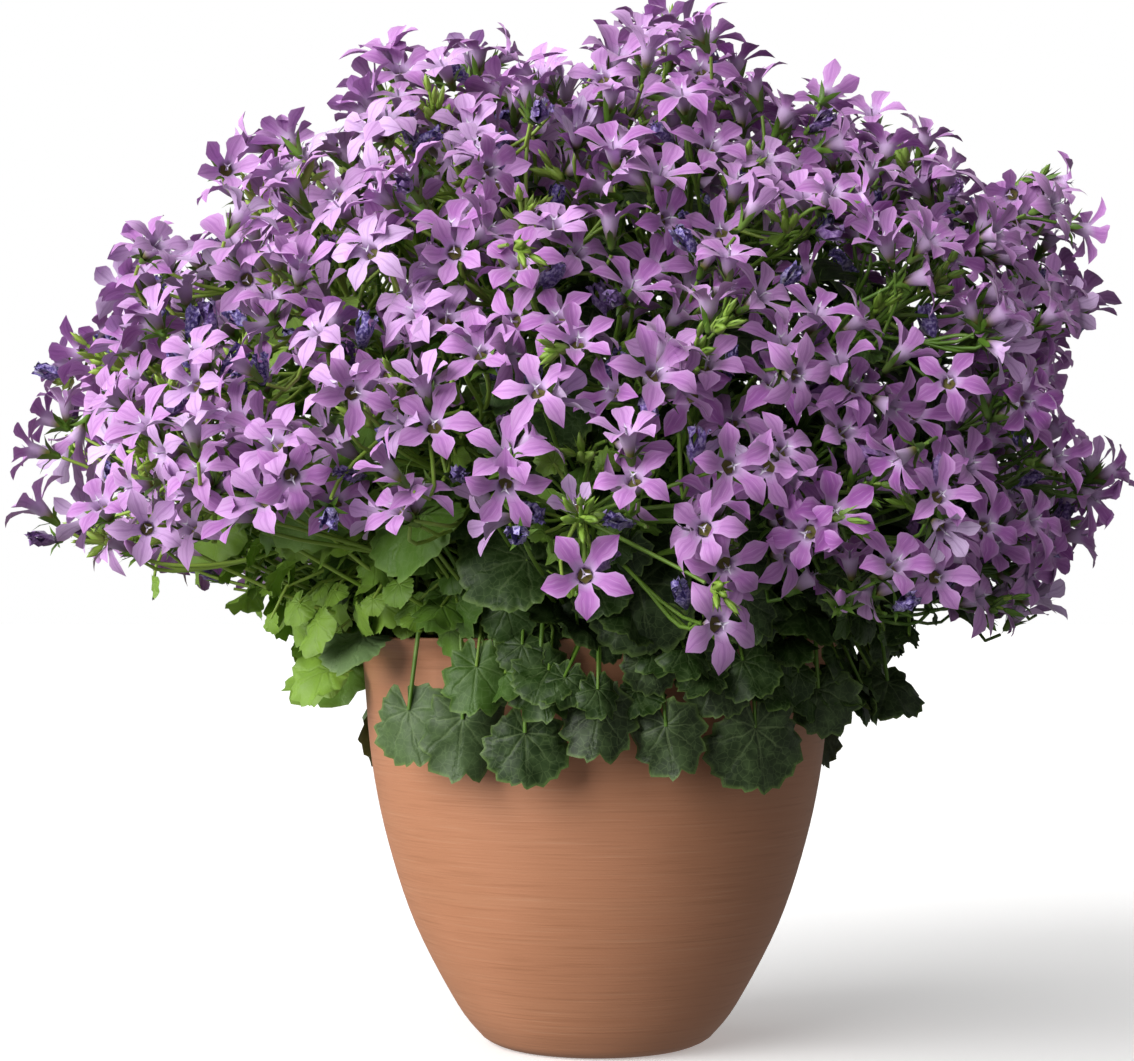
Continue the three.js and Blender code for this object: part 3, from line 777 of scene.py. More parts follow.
def put(plan, point, turn, size, kind, tint, thickness=0.0):
    """A shape on a loose point."""
    for key, value in zip(plan, (point, thickness, size, tint, kind, tuple(turn))):
        plan[key].append(value)


def draw_stalk(plan, line, thick, thin, tint):
    """A tube along a line of points, from thick to thin."""
    first, steps = len(plan["points"]), len(line) - 1
    for k, point in enumerate(line):
        put(plan, point, NO_TURN, 1, NO_SHAPE, tint, lerp(thick, thin, k / steps) * MM)
    plan["edges"] += [(first + k, first + k + 1) for k in range(steps)]


def turned(facing, forward, spin_angle=0.0):
    """The turn that takes +z to facing and +y as near as it can to forward, then spins round facing."""
    up_axis = facing.normalized()
    side = forward.cross(up_axis)
    if side.length < 1e-6:
        side = up_axis.orthogonal()
    side.normalize()
    turn = Matrix((side, up_axis.cross(side), up_axis)).transposed().to_quaternion()
    turn.normalize()
    return turn @ Matrix.Rotation(spin_angle, 3, "Z").to_quaternion()


def beside(facing, around):
    """The direction square to facing at a turn round it."""
    return turned(facing, UP) @ heading(around)


def shelf(name, shapes):
    """Shapes for a tree to pick from. The collection isn't in the scene, so they don't show themselves."""
    collection = bpy.data.collections.new(name)
    for shape in shapes:
        collection.objects.link(shape)
    return collection


def grow(name, plan, shapes, sides, spread, finish, nodes):
    """Runs the tree on a plan and keeps the result as one plain mesh piece."""
    mesh = bpy.data.meshes.new(name + "_plan")
    mesh.from_pydata([Vector(p) * MM for p in plan["points"]], plan["edges"], [])
    for key, kind in PLAN_VALUES.items():
        mesh.attributes.new(key, kind, "POINT").data.foreach_set("value", np.array(plan[key]).ravel())
    carrier = show(name + "_plan", mesh)
    modifier = carrier.modifiers.new("grow", "NODES")
    modifier.node_group = growing_tree
    values = {"Shapes": shapes, "Sides of stalk": sides, "Size spread": spread, "Seed": 7, "Finish": finish}
    for socket in growing_tree.interface.items_tree:
        if socket.in_out == "INPUT" and socket.name in values:
            modifier[socket.identifier] = values[socket.name]
    depsgraph = bpy.context.evaluated_depsgraph_get()
    result = bpy.data.meshes.new_from_object(carrier.evaluated_get(depsgraph), depsgraph=depsgraph)
    bpy.data.objects.remove(carrier)
    bpy.data.meshes.remove(mesh)
    for key in PLAN_VALUES:
        if key != "tint" and key in result.attributes:
            result.attributes.remove(result.attributes[key])
    result.name = name
    piece = show(name, result)
    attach(piece, "root")
    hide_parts(*nodes)
    return piece


petal_shapes = shelf("petal_shapes", PETAL_KINDS)
green_shapes = shelf("green_shapes", GREEN_KINDS)
leaf_shapes = shelf("leaf_shapes", LEAF_KINDS)
print("shapes:", len(PETAL_KINDS) + len(GREEN_KINDS) + len(LEAF_KINDS))

# %% [markdown]
# ## Petal, leaf and stem finishes
# A petal is thin and satin: a pale throat, a lobe that is paler towards its edge, partly in its own colour
# and partly as a painted highlight, and a darker line down its crease. Young flowers are pale lavender, and
# withered ones turn a dark blue violet, blotched dark and pale, which partly paints the shade and highlights
# of fine folds. The tint draws each flower's age, and it is raised, so darker, on the shaded side of the
# mound: painted shade. A petal's own tissue is matt with a very weak sheen.


# %% Petal finish
def petal_colour(tree):
    along, across, tint, wilt = [
        add(tree, "ShaderNodeAttribute", attribute_name=name)["Fac"]
        for name in ("along", "across", "tint", "wilt")
    ]
    # A higher tint gives an older, darker violet. The plans also raise it on the shaded side of the mound,
    # which paints shade.
    ages_and_shade = ((0, "#ddc5ea"), (0.15, "#d1a6db"), (0.4, "#c58bcc"), (0.7, "#b16fb8"), (1, "#934a9b"))
    lobe = add(tree, "ShaderNodeValToRGB", (tint,), ages_and_shade)[0]
    wide = add(tree, "ShaderNodeMath", (across, 4.0), operation="MULTIPLY")[0]
    on_petal = add(tree, "ShaderNodeCombineXYZ", (wide, along))[0]
    streaks = add(tree, "ShaderNodeTexNoise", {"Vector": on_petal, "Scale": 2.2, "Detail": 3})[0]
    off_crease = add(tree, "ShaderNodeMath", (across,), operation="ABSOLUTE")[0]
    lobe = wash(tree, lobe, "#d6b6e2", streaks, 0.5, 0.75, 0.28)
    lobe = wash(tree, lobe, "#8c4f9e", streaks, 0.5, 0.3, 0.3)
    lobe = wash(tree, lobe, "#87489a", off_crease, 0.14, 0.0, 0.4)
    # Paler lilac towards the lobe's edges: partly the petal's own colour, partly a painted highlight.
    lobe = wash(tree, lobe, "#dbb9e4", off_crease, 0.45, 1.0, 0.32)
    funnel = ((0, "#5d5a1e"), (0.13, "#6d6a2a"), (0.2, "#b193b9"), (0.38, "#d6b9e2"))
    throat = add(tree, "ShaderNodeValToRGB", (along,), funnel)[0]
    colour = wash(tree, throat, lobe, along, 0.34, 0.54)
    colour = wash(tree, colour, "#d9cfe2", along, 1.2, 1.4)
    place = add(tree, "ShaderNodeTexCoord")["Object"]
    # Dark and pale patches on withered petals: partly blotchy colour, partly painted shade and highlights of
    # fine folds.
    fold_shade_and_blotches = add(tree, "ShaderNodeTexNoise", {"Vector": place, "Scale": 1000, "Detail": 2})[0]
    blues = ((0.3, "#3d2e66"), (0.48, "#6654a2"), (0.62, "#b5a8da"))
    blue = add(tree, "ShaderNodeValToRGB", (fold_shade_and_blotches,), blues)[0]
    brown = add(tree, "ShaderNodeMix", {0: fold_shade_and_blotches, 6: "#4a2a5c", 7: "#9a6cab"}, data_type="RGBA")[2]
    dead = wash(tree, blue, brown, tint, 0.3, 0.9)
    return [add(tree, "ShaderNodeMix", {0: wilt, 6: colour, 7: dead}, data_type="RGBA")[2]]


# Petal tissue is thin and nearly matt, with a weak sheen along its edges, so the flowers look soft.
petal_satin = new_finish("petal_tissue", petal_colour, 0.55, Sheen_Weight=0.25, Specular_IOR_Level=0.3)
print("petal finish:", len(petal_satin.node_tree.nodes), "nodes")

# %% [markdown]
# A leaf is waxy and dark above and yellow green while it is young: tints from 0 to 1. Where the wax is
# thick it is greyer: tints over 1.1. That grey is partly the wax's bloom and partly a painted sheen. Tints
# are also made paler where more light falls, which paints the light. Pale veins run from the cleft to the
# teeth: the angle from the cleft, folded every 40 degrees, gives the distance to the nearest one. The blade
# swells between them, which a weak bump adds.


# %% Leaf finish
def leaf_colour(tree):
    tint = add(tree, "ShaderNodeAttribute", attribute_name="tint")["Fac"]
    place = add(tree, "ShaderNodeTexCoord")["Object"]
    mottle = add(tree, "ShaderNodeTexNoise", {"Vector": place, "Scale": 260, "Detail": 4})[0]
    blade = add(tree, "ShaderNodeAttribute", attribute_name="blade")["Vector"]
    x, y, edge = add(tree, "ShaderNodeSeparateXYZ", (blade,))
    ahead = add(tree, "ShaderNodeMath", (y, CLEFT), operation="ADD")[0]
    spoke = add(tree, "ShaderNodeCombineXYZ", (x, ahead))[0]
    far = add(tree, "ShaderNodeVectorMath", (spoke,), operation="LENGTH")["Value"]
    angle = add(tree, "ShaderNodeMath", (x, ahead), operation="ARCTAN2")[0]
    angle = add(tree, "ShaderNodeMath", (angle,), operation="ABSOLUTE")[0]
    wander = add(tree, "ShaderNodeMath", (mottle, 0.35, -0.175), operation="MULTIPLY_ADD")[0]
    bent = add(tree, "ShaderNodeMath", (angle, wander), operation="ADD")[0]
    folded = add(tree, "ShaderNodeMath", (bent, math.radians(20)), operation="PINGPONG")[0]
    off_vein = add(tree, "ShaderNodeMath", (folded, far), operation="MULTIPLY")[0]
    smooth = {"interpolation_type": "SMOOTHSTEP"}
    near_cleft = add(tree, "ShaderNodeMapRange", (far, 1.25, 0.3, 0, 0.14), **smooth)[0]
    greens = ((0, "#18290b"), (0.35, "#263f11"), (0.6, "#44661f"), (0.8, "#62882e"), (1, "#83a83a"))
    green = add(tree, "ShaderNodeValToRGB", (tint,), greens)[0]
    # Over 1.1 the tint turns grey: partly the wax's bloom, partly a painted sheen.
    bloom_and_sheen = add(tree, "ShaderNodeMath", (tint, 1.1), operation="SUBTRACT")[0]
    grey = add(tree, "ShaderNodeValToRGB", (bloom_and_sheen,), ((0, "#1f2d13"), (0.5, "#415630"), (1, "#7d9963")))[0]
    net = add(tree, "ShaderNodeTexVoronoi", {"Vector": place, "Scale": 420}, feature="DISTANCE_TO_EDGE")[0]
    colour = wash(tree, green, grey, tint, 1.04, 1.06)
    colour = wash(tree, colour, "#7d9a60", mottle, 0.4, 0.65, 0.14)
    colour = wash(tree, colour, "#a3bf7c", net, 0.08, 0.0, 0.08)
    colour = wash(tree, colour, "#a4bb80", off_vein, 0.03, 0.006, near_cleft)
    colour = wash(tree, colour, "#86a552", edge, 0.88, 1.0, 0.3)
    swell = add(tree, "ShaderNodeMapRange", (off_vein, 0.0, 0.08), **smooth)[0]
    quilt = add(tree, "ShaderNodeMath", (mottle, 0.9, swell), operation="MULTIPLY_ADD")[0]
    return colour, add(tree, "ShaderNodeBump", {"Height": quilt, "Strength": 0.3, "Distance": 0.0006})[0]


# Leaf wax gives the upper face a soft, broad shine, so the blades look firm.
leaf_wax = new_finish("waxy_leaf", leaf_colour, 0.48, Specular_IOR_Level=0.28)
print("leaf finish:", len(leaf_wax.node_tree.nodes), "nodes")


# %% Stem finish
def stem_colour(tree):
    place = add(tree, "ShaderNodeTexCoord")["Object"]
    streaks = add(tree, "ShaderNodeTexNoise", {"Vector": place, "Scale": 150, "Detail": 2})[0]
    tint = add(tree, "ShaderNodeAttribute", attribute_name="tint")["Fac"]
    green = add(tree, "ShaderNodeValToRGB", (tint,), ((0, "#2b4417"), (0.5, "#5f8629"), (1, "#9dba4c")))[0]
    return [wash(tree, green, "#9bb663", streaks, 0.45, 0.7, 0.3)]


# A stem's skin is smooth and a little shinier than a leaf.
stem_skin = new_finish("green_stem_skin", stem_colour, 0.45, Specular_IOR_Level=0.4)
print("stem finish:", len(stem_skin.node_tree.nodes), "nodes")

# %% [markdown]
# ## Where the extra flowers go
# Bellflowers stand in small bunches. So each packed flower gets two to four neighbours that lean away from
# it, and on the left side a few of them rise over the mound, which breaks its outline. Then the dome rule
# fills in: it proposes places down to a few centimetres deep, and a slow noise leaves dark hollows between
# the bunches. A place is kept if no other flower's mouth is too near. A stalk leaves its stem where it can
# slant up to the flower; at the left some low flowers stand on stalks that arch out of the crown, as the
# photograph shows there.

# %% Flowers of each spray
BUNCH_FEWEST, BUNCH_MOST = 2, 4
BUNCH_SPACE = 8.5
BUNCH_DEPTH = 15
SPRIG_SHARE = 0.4
SPRIG_FARTHEST = -160
FILL_TRIES = 2400
FILL_SPACE = 11.0
FILL_DEPTH = 36
HOLLOW_DEPTH = 14
ARCH_BELOW = 0.3
ARCH_SHARE = 0.35
PACKED = -1  # the depth that marks a packed flower

flowers = []


def add_flower(spray, mouth, facing, line, depth):
    flowers.append({"spray": spray, "mouth": mouth, "facing": facing, "line": line, "depth": depth})


def nearest_stem(direction, stems):
    return max(stems, key=lambda stem: stem["direction"].dot(direction))


def stalk_to(stem, neck, facing):
    """A stalk that leaves a stem where it can slant up to the neck, and arrives along its facing."""
    best = None
    for a, b in zip(stem[4:], stem[5:]):
        way = neck - a
        slant = way.normalized().dot((b - a).normalized())
        score = way.length + (0 if slant > 0.5 else 400 * (0.5 - slant))
        if best is None or score < best[0]:
            best = (score, a, (b - a).normalized())
    _, start, axis = best
    pull = 0.35 * (neck - start).length
    return bezier(start, start + axis * pull, neck - facing * pull, neck, 6)


def is_hollow(direction):
    """Whether a direction lies in a gap between bunches. The gaps are wider towards the left."""
    return noise.noise(direction * 5) < lerp(-0.12, 0.22, max(-direction.x, 0))


def is_free(mouth, space):
    """Whether a mouth is far enough from the others, and not below the mound's lower edge."""
    from_middle = (mouth - DOME_MIDDLE).normalized()
    lowest = dome_edge(math.atan2(from_middle.y, from_middle.x)) + math.radians(1)
    if math.acos(from_middle.z) > lowest:
        return False
    return min((mouth - other["mouth"]).length for other in flowers) >= space


def add_packed_flower(spray, tuft):
    """A fine flower on a packed one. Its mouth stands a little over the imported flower's hollow."""
    facing = (tuft["top"] - tuft["line"][-1]).normalized()
    mouth = tuft["top"] + facing * 6.5
    axis = (spray["stem"][-1] - spray["stem"][-4]).normalized()
    start, neck = tuft["line"][0], mouth - facing * CUP_DEPTH
    pull = 0.3 * (neck - start).length
    lead = start + (neck - start) * 0.2 + axis * pull * 0.3
    add_flower(spray, mouth, facing, bezier(start, lead, neck - facing * pull, neck, 6), PACKED)


def add_bunch_flower(number, parent, k, members):
    """Neighbour k of a packed flower. At the left the first may be a sprig that stands over the mound."""
    draw, out = 10 * number + k, parent["facing"]
    side = beside(out, 2 * math.pi * (dice(45, number) + (k + 0.4 * dice(46, draw)) / members))
    lean = math.radians(dice(47, draw, 25, 80))
    depth = dice(48, draw, 1, BUNCH_DEPTH)
    is_side = 0.25 < out.z < 0.75 and out.x < 0.4 and parent["mouth"].x > SPRIG_FARTHEST
    if k == 0 and is_side and dice(38, number) < SPRIG_SHARE:
        depth = dice(37, number, -9, -4)
    facing = (out * math.cos(lean) + side * math.sin(lean) + UP * 0.1).normalized()
    mouth = parent["mouth"] - out * depth + side * dice(49, draw, 7, 12)
    is_loose = dice(36, draw) < 0.7 * max(-out.x, 0) and is_hollow((mouth - DOME_MIDDLE).normalized())
    if is_loose or not is_free(mouth, BUNCH_SPACE):
        return
    start, neck = parent["line"][3], mouth - facing * CUP_DEPTH
    pull = 0.35 * (neck - start).length
    way = (parent["line"][4] - start).normalized()
    line = bezier(start, start + way * pull, neck - facing * pull, neck, 6)
    add_flower(parent["spray"], mouth, facing, line, max(depth / BUNCH_DEPTH, 0))


def add_fill_flower(i):
    """A flower between the bunches, if its place on or under the dome is free."""
    direction = (dome_direction(i, FILL_TRIES, 10) + jitter(41, i, 0.05)).normalized()
    spray = nearest_stem(direction, sprays)
    depth = FILL_DEPTH * dice(42, i)
    if depth < HOLLOW_DEPTH and is_hollow(direction):
        return
    mouth = on_dome(direction, reach(direction) + 0.7 * spray["stagger"] - depth)
    if not is_free(mouth, FILL_SPACE):
        return
    facing = (direction + UP * 0.15 + jitter(43, i, 0.9)).normalized()
    neck = mouth - facing * CUP_DEPTH
    line = stalk_to(spray["stem"], neck, facing)
    if direction.z < ARCH_BELOW and direction.x < 0.2 and dice(40, i) < ARCH_SHARE:
        out = Vector((direction.x, direction.y, 0)).normalized()
        root, bend = out * 66 + UP * 136, out * 96 + UP * dice(39, i, 138, 150)
        line = bezier(root, bend, neck - (facing + out) * 10 - UP * 8, neck, 10)
    add_flower(spray, mouth, facing, line, depth / FILL_DEPTH)


for spray in sprays:
    for tuft in tufts_of[spray["node"]]:
        if tuft["kind"] == "flower":
            add_packed_flower(spray, tuft)
packed_count = len(flowers)
for number, parent in enumerate(flowers[:packed_count]):
    members = BUNCH_FEWEST + int((BUNCH_MOST - BUNCH_FEWEST + 1) * dice(44, number))
    for k in range(members):
        add_bunch_flower(number, parent, k, members)
bunched_count = len(flowers)
for i in range(FILL_TRIES):
    add_fill_flower(i)
added = bunched_count - packed_count, len(flowers) - bunched_count
print("flowers:", packed_count, "packed,", added[0], "beside them,", added[1], "between")

# %% [markdown]
# ## The flowering sprays
# One spray becomes three pieces, one for each finish: the petals, the green stems with cups and buds, and
# the leaves. A spray's stem ends above its flowers in a short spike of buds, and small leaves sit along it,
# each a golden angle further round than the last. Stems, leaves and flowers are painted paler on the side
# that gets more light and darker on the shaded side: painted light and shade.


# %% Leaves on their stalks
# The tints of stems, leaves and flowers follow this, which paints light and shade into their colours.
def lit(direction):
    """How much light a side of the mound gets, from 1 at the left and the top to 0 low at the right."""
    return min(0.5 - 0.5 * direction.x + 0.3 * max(direction.z, 0), 1)


def any_of(kinds, draw):
    return kinds[min(int(draw * len(kinds)), len(kinds) - 1)]


def add_leaf(plan, stalks, start, centre, facing, forward, half_width, kind, tint):
    """A leaf and its stalk. The stalk ends in the blade's cleft."""
    put(plan, centre, turned(facing, forward), half_width, kind, tint)
    flat = (forward - facing * forward.dot(facing)).normalized()
    neck = centre - flat * STALK_END * half_width
    pull = 0.4 * (neck - start).length
    lead = start + (neck - start).normalized() * pull * 0.4 + UP * pull * 0.5
    line = bezier(start, lead, neck - flat * pull, neck, 4)
    draw_stalk(stalks, line, 0.75, 0.5, lerp(0.35, 1.0, min(tint, 1)))


def rim_leaf_tint(number, painted_light_at_left):
    """The leaves over the rim are grey, partly with wax and partly with a painted sheen, and their tints are
    paler at the left: painted light. Some elsewhere are dark green.
    """
    if painted_light_at_left < 0.6 and dice(56, number) < 0.5:
        return dice(52, number, 0.1, 0.4)
    return 1.1 + dice(52, number, 0.0, 0.15) + 0.9 * painted_light_at_left


def packed_leaf(plan, stalks, tuft, number):
    """The fine leaf on a packed one, its tip swung a little aside. Rim leaves lie flatter on the clay."""
    facing, top = tuft["facing"], tuft["top"]
    is_rim = tuft["kind"] == "rim leaf"
    forward = top - tuft["line"][-1]
    forward = (forward - facing * forward.dot(facing)).normalized()
    most = 14 if is_rim else 24
    forward = Matrix.Rotation(math.radians(dice(53, number, -most, most)), 3, facing) @ forward
    half = sorted(arm.length for arm in tuft["arms"])[-2 if is_rim else -3]
    if is_rim and top.y < 30:
        facing = Vector((facing.x * 0.4, facing.y - 0.5 * abs(facing.x), facing.z)).normalized()
    kinds = BROAD if half > (13 if is_rim else 10) else (*BROAD, *SMALL) if is_rim else SMALL
    painted_light_at_left = max(0, -top.x / 90)
    is_grey = is_rim and painted_light_at_left < 0.85
    # Leaves further to the left get paler tints: painted light.
    tint = rim_leaf_tint(number, painted_light_at_left) if is_grey else min(dice(52, number, 0, 0.35) + 0.8 * painted_light_at_left, 1)
    middle = top - facing * 0.8
    tipped = (facing + jitter(54, number, 0.22 if is_rim else 0.12)).normalized()
    put(plan, middle, turned(tipped, forward), half, any_of(kinds, dice(51, number)), tint)
    line = [*tuft["line"][:-1], middle - forward * STALK_END * half]
    sag = forward.cross(facing) * dice(55, number, -3.5, 3.5)
    line = [point + sag * math.sin(math.pi * k / (len(line) - 1)) for k, point in enumerate(line)]
    draw_stalk(stalks, line, 1.0 if is_rim else 0.7, 0.6, 0.45)


def add_stem_leaves(plan, stalks, number, stem, painted_light):
    """Small leaves along a stem, two a step. They get smaller and paler towards its tip."""
    for k, (a, b) in enumerate(zip(stem[5:], stem[6:])):
        axis = (b - a).normalized()
        for half_step in (0, 1):
            draw = 60 * number + 2 * k + half_step
            start = a.lerp(b, 0.5 * half_step)
            side = beside(axis, draw * GOLDEN_ANGLE)
            half = lerp(9, 4, k / 20) * dice(71, draw, 0.7, 1.1)
            centre = start + (side + axis * 0.5).normalized() * (half + dice(72, draw, 4, 16))
            facing = (axis + UP * 0.6 + jitter(73, draw, 0.6)).normalized()
            kind = any_of((*SMALL, *SMALL, NARROW), dice(74, draw))
            # Paler on the side of the mound that gets more light: painted light.
            tint = min((dice(75, draw, 0.1, 0.8) + 0.03 * k) * lerp(0.3, 1.1, painted_light), 1)
            add_leaf(plan, stalks, start, centre, facing, side, half, kind, tint)


print("light at the left and right:", lit(Vector((-1, 0, 0))), lit(Vector((1, 0, 0))))

# %% Spikes and flowers
SPIKE_BUDS = 7
TUFT_BUDS = 4


def add_spike(plan, number, spray, painted_light):
    """A stem, drawn on past its flowers into a short spike of green buds."""
    stem, direction = spray["stem"], spray["direction"]
    end = on_dome(direction, reach(direction) + 0.7 * spray["stagger"] - 14)
    last = (stem[-1] - stem[-2]).normalized()
    spike = bezier(stem[-1], stem[-1] + last * 10, end - (direction + UP).normalized() * 8, end, 6)
    # The stem and the buds below get paler tints where the mound gets more light: painted light.
    draw_stalk(plan, [*stem, *spike[1:]], 1.45, 0.6, lerp(0.1, 1.0, painted_light))
    for k in range(SPIKE_BUDS):
        at = spike[min(2 + k * 5 // SPIKE_BUDS, 6)]
        lean = 0.8 if k < SPIKE_BUDS - 1 else 0.1
        facing = (beside(last, k * GOLDEN_ANGLE) * lean + last + UP * 0.3).normalized()
        size = lerp(0.95, 0.6, k / SPIKE_BUDS)
        kind = any_of(GREEN_BUDS, dice(61, 10 * number + k))
        centre = at + facing * (BUD_DEPTH * size + 2)
        put(plan, centre, turned(facing, UP), size, kind, lerp(0.35, 1.0, painted_light))
        draw_stalk(plan, [at, at + facing * 2.5], 0.6, 0.6, 0.8)


def add_bud_tuft(plan, mouth, facing, first_turn, painted_light):
    """Green buds where a flower would be: one upright, and the others leaning away from it."""
    for k in range(TUFT_BUDS):
        lean = beside(facing, first_turn + k * math.pi / 2) * (0.55 if k else 0.0)
        away = (facing + lean).normalized()
        centre = mouth - facing * (BUD_DEPTH - k) + away * 9
        size = lerp(0.95, 0.6, k / TUFT_BUDS)
        # Paler where the mound gets more light: painted light.
        put(plan, centre, turned(away, UP), size, any_of(GREEN_BUDS, k / TUFT_BUDS), lerp(0.5, 1.0, painted_light))


def look_of(flower, fate, draw):
    """A flower's shape, size and tint. Deeper ones are withered more often, and those on the shaded side get a
    darker tint: painted shade.
    """
    # The tint is raised where the mound gets less light: painted shade.
    painted_shade = 0.5 * (1 - lit((flower["mouth"] - DOME_MIDDLE).normalized()))
    if flower["depth"] == PACKED:
        return any_of(STARS, fate), 1.0, painted_shade + 0.62 * dice(64, draw)
    if fate < 0.24 * flower["depth"] + 0.06:
        return any_of(WITHERED, dice(65, draw)), 0.72, dice(64, draw)
    if fate < 0.76:
        return any_of(STARS, dice(65, draw)), 0.93, painted_shade + 0.62 * dice(64, draw)
    if fate < 0.87:
        return HALF_OPEN, 0.9, dice(64, draw, 0, 0.7)
    if fate < 0.91:
        return YOUNG_BELL, 0.85, dice(64, draw, 0, 0.5)
    return VIOLET_BUD, 0.8, 0.6


def add_fine_flower(petals, greens, flower, draw, painted_light):
    """A flower with its cup and stalk, or a tuft of green buds in its place."""
    mouth, facing = flower["mouth"], flower["facing"]
    fate = dice(62, draw)
    spin_angle = 2 * math.pi * dice(63, draw)
    if flower["depth"] != PACKED and fate >= 0.94:
        add_bud_tuft(greens, mouth, facing, spin_angle, painted_light)
    else:
        kind, size, tint = look_of(flower, fate, draw)
        turn = turned(facing, UP, spin_angle)
        put(petals, mouth, turn, size, kind, tint)
        # Cups and stalks get paler tints where the mound gets more light: painted light.
        put(greens, mouth, turn, size, any_of(CUPS, dice(66, draw)), lerp(0.2, 0.5, painted_light))
    draw_stalk(greens, flower["line"], 0.75, 0.55, lerp(0.1, 1.0, painted_light))


print("buds on a spike:", SPIKE_BUDS)

# %% Spray pieces
for number, spray in enumerate(sprays):
    petals, greens, leaves = new_plan(), new_plan(), new_plan()
    name, painted_light = spray["node"], lit(spray["direction"])
    add_spike(greens, number, spray, painted_light)
    for index, flower in enumerate(f for f in flowers if f["spray"] is spray):
        add_fine_flower(petals, greens, flower, 100 * number + index, painted_light)
    for index, tuft in enumerate(t for t in tufts_of[name] if t["kind"] != "flower"):
        packed_leaf(leaves, greens, tuft, 40 * number + index)
    add_stem_leaves(leaves, greens, number, spray["stem"], painted_light)
    grow(name + "_petals", petals, petal_shapes, 4, 0.07, petal_satin, [name])
    grow(name + "_stems", greens, green_shapes, 5, 0.0, stem_skin, [name])
    grow(name + "_leaves", leaves, leaf_shapes, 4, 0.1, leaf_wax, [name])
print("spray pieces:", 3 * len(sprays))

# %% [markdown]
# ## The leafy shoots
# Round the edge of the crown, short shoots carry the largest leaves. Some stand as a skirt under the
# flowers, and some arch over the rim on long stalks and hang against the clay. A collar of smaller leaves
# fills in between them, apart from a stretch of bare rim at the left, as in the photograph.

# %% Skirt and collar
SKIRT_LEAVES = 360
COLLAR_LEAVES = 170
COLLAR_DRAWS = 500  # where the collar's own draws start, beyond the skirt's
BARE_RIM = (-74, -24)
edge_leaves = {shoot["node"]: [] for shoot in shoots}


def plan_edge_leaf(i, shoot, start, centre, out, lift, shake, ahead, half, paler):
    """Plans a leaf that faces out and up a little, with its tip hanging down. Its tint is paler at the left:
    painted light.
    """
    facing = (out + UP * lift + jitter(82, i, shake)).normalized()
    forward = out * ahead - UP + jitter(83, i, 0.6)
    kind = any_of((*BROAD, *SMALL), dice(87, i))
    # A paler tint at the left, and a little at the right, paints light.
    tint = min(dice(86, i, 0.05, 0.25) + max(0.15 * out.x, paler), 1)
    edge_leaves[shoot["node"]].append((start, centre, facing, forward, half, kind, tint))


for i in range(SKIRT_LEAVES):
    share = (i + 0.5) / SKIRT_LEAVES
    out = aloft(i * GOLDEN_ANGLE, lerp(-0.2, 0.45, share))
    shoot = nearest_stem(out, shoots)
    centre = on_dome(out, dice(81, i, 82, lerp(104, 136, share)))
    half = dice(84, i, 5.0, 11.0) * (0.75 if out.x < -0.2 else 1)
    start = any_of(shoot["stem"][3:], dice(85, i))
    plan_edge_leaf(i, shoot, start, centre, out, 0.5, 0.7, 0.5, half, -1.4 * out.x)

for i in range(COLLAR_LEAVES):
    out = heading(i * GOLDEN_ANGLE)
    shoot = nearest_stem(out, shoots)
    height = dice(88, i, 112, 146)
    side = math.degrees(math.atan2(out.x, -out.y))
    if BARE_RIM[0] < side < BARE_RIM[1] and height < 141:
        continue
    if -130 < side < BARE_RIM[0]:
        height = max(height, dice(90, i, 126, 144))
    centre = out * dice(89, i, 87, 97) + UP * height
    i += COLLAR_DRAWS
    half = dice(84, i, 6.0, 10.5)
    plan_edge_leaf(i, shoot, shoot["stem"][-1], centre, out, 0.4, 0.45, 0.3, half, -1.4 * out.x - 0.15)
print("skirt and collar leaves:", sum(len(leaves) for leaves in edge_leaves.values()))

# %% Shoot pieces
for number, shoot in enumerate(shoots):
    greens, leaves = new_plan(), new_plan()
    name = shoot["node"]
    draw_stalk(greens, shoot["stem"], 1.4, 1.0, 0.6)
    for index, tuft in enumerate(tufts_of[name]):
        packed_leaf(leaves, greens, tuft, 7000 + 40 * number + index)
    for leaf in edge_leaves[name]:
        add_leaf(leaves, greens, *leaf)
    grow(name + "_stems", greens, green_shapes, 6, 0.0, stem_skin, [name])
    grow(name + "_leaves", leaves, leaf_shapes, 4, 0.08, leaf_wax, [name])
print("shoot pieces:", 2 * len(shoots))

# %% [markdown]
# ## Compost
# Peat and bark crumbs fill the pot to a finger's breadth under the rim. The packed soil keeps its form and
# gets a crumbly finish, and loose crumbs lie on it, which the same tree places from a plan of seeded draws.


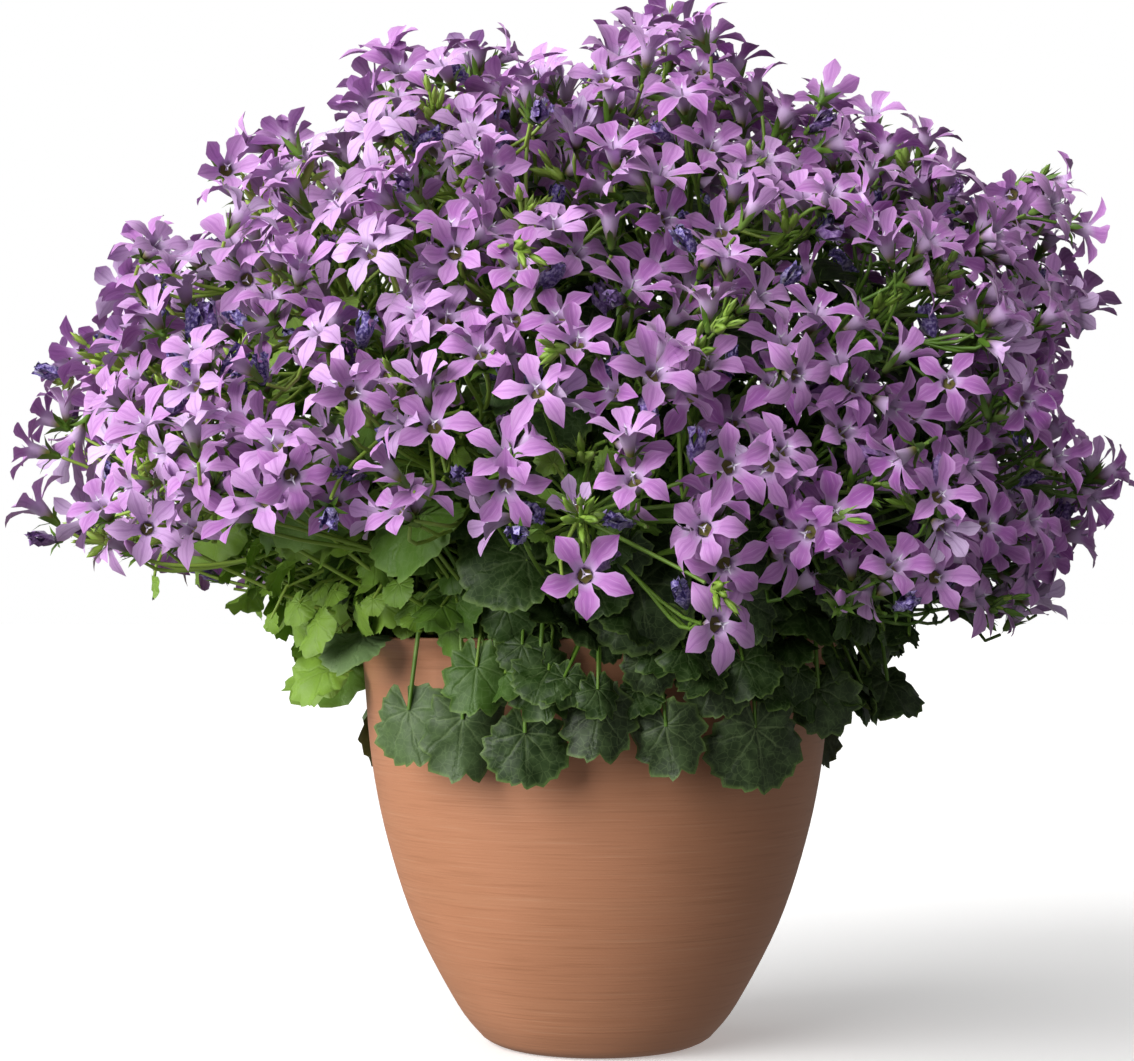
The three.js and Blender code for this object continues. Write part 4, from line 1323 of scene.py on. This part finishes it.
# %% Compost finish
def compost_colour(tree):
    place = add(tree, "ShaderNodeTexCoord")["Object"]
    crumbs = add(tree, "ShaderNodeTexVoronoi", {"Vector": place, "Scale": 320})[0]
    grit = add(tree, "ShaderNodeTexNoise", {"Vector": place, "Scale": 900, "Detail": 3})[0]
    browns = ((0.1, "#1b120c"), (0.5, "#33241a"), (0.9, "#4b382a"))
    colour = add(tree, "ShaderNodeValToRGB", (crumbs,), browns)[0]
    colour = wash(tree, colour, "#6b5340", grit, 0.55, 0.7, 0.5)
    return colour, add(tree, "ShaderNodeBump", {"Height": crumbs, "Strength": 0.8, "Distance": 0.002})[0]


# Peat scatters light in every direction and has no shine.
compost = new_finish("peat_compost", compost_colour, 0.95, Specular_IOR_Level=0.2)
soil = frame["nodes"]["soil"]
soil.data.materials.clear()
soil.data.materials.append(compost)
print("soil wears", soil.data.materials[0].name)

# %% Crumbs
CRUMBS = 900
CRUMBS_REACH = 68.5


def crumb_shape(name, seed):
    points = [Vector((0, 0, 1)), Vector((0, 0, -0.6))]
    points += [ring_point(1, k * 1.2566, 0.3 * (k % 2)) for k in range(5)]
    points = [p + jitter(seed, k, 0.25) for k, p in enumerate(points)]
    faces = [(0, 2 + k, 2 + (k + 1) % 5) for k in range(5)] + [(1, 2 + (k + 1) % 5, 2 + k) for k in range(5)]
    return new_shape(name, points, faces)


crumb_shapes = shelf("crumb_shapes", [crumb_shape("a_crumb", 91), crumb_shape("b_crumb", 92)])
crumbs = new_plan()
for i in range(CRUMBS):
    point = ring_point(CRUMBS_REACH * math.sqrt(dice(93, i)), 2 * math.pi * dice(94, i), SOIL_LEVEL + 0.2)
    turn = turned(UP + jitter(95, i, 0.4), Vector((1, 0, 0)), 6.28 * dice(96, i))
    put(crumbs, point, turn, lerp(0.8, 2.2, dice(97, i) ** 2), int(2 * dice(98, i)), 0)
crumb_piece = grow("compost_crumbs", crumbs, crumb_shapes, 3, 0.2, compost, [])
print("crumb faces:", len(crumb_piece.data.polygons))

# %% [markdown]
# ## Last look
# The shapes and the tree have done their work and go. The triangle counts are printed.

# %% Sizes and finish
bpy.data.node_groups.remove(growing_tree)
for collection in (petal_shapes, green_shapes, leaf_shapes, crumb_shapes):
    for shape in list(collection.objects):
        bpy.data.objects.remove(shape)
    bpy.data.collections.remove(collection)
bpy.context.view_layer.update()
meshes = [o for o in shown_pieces() if o.type == "MESH"]
triangles = {o.name: sum(len(p.vertices) - 2 for p in o.data.polygons) for o in meshes}
print("triangles:", sum(triangles.values()))
print("largest:", max(triangles, key=triangles.get), max(triangles.values()))
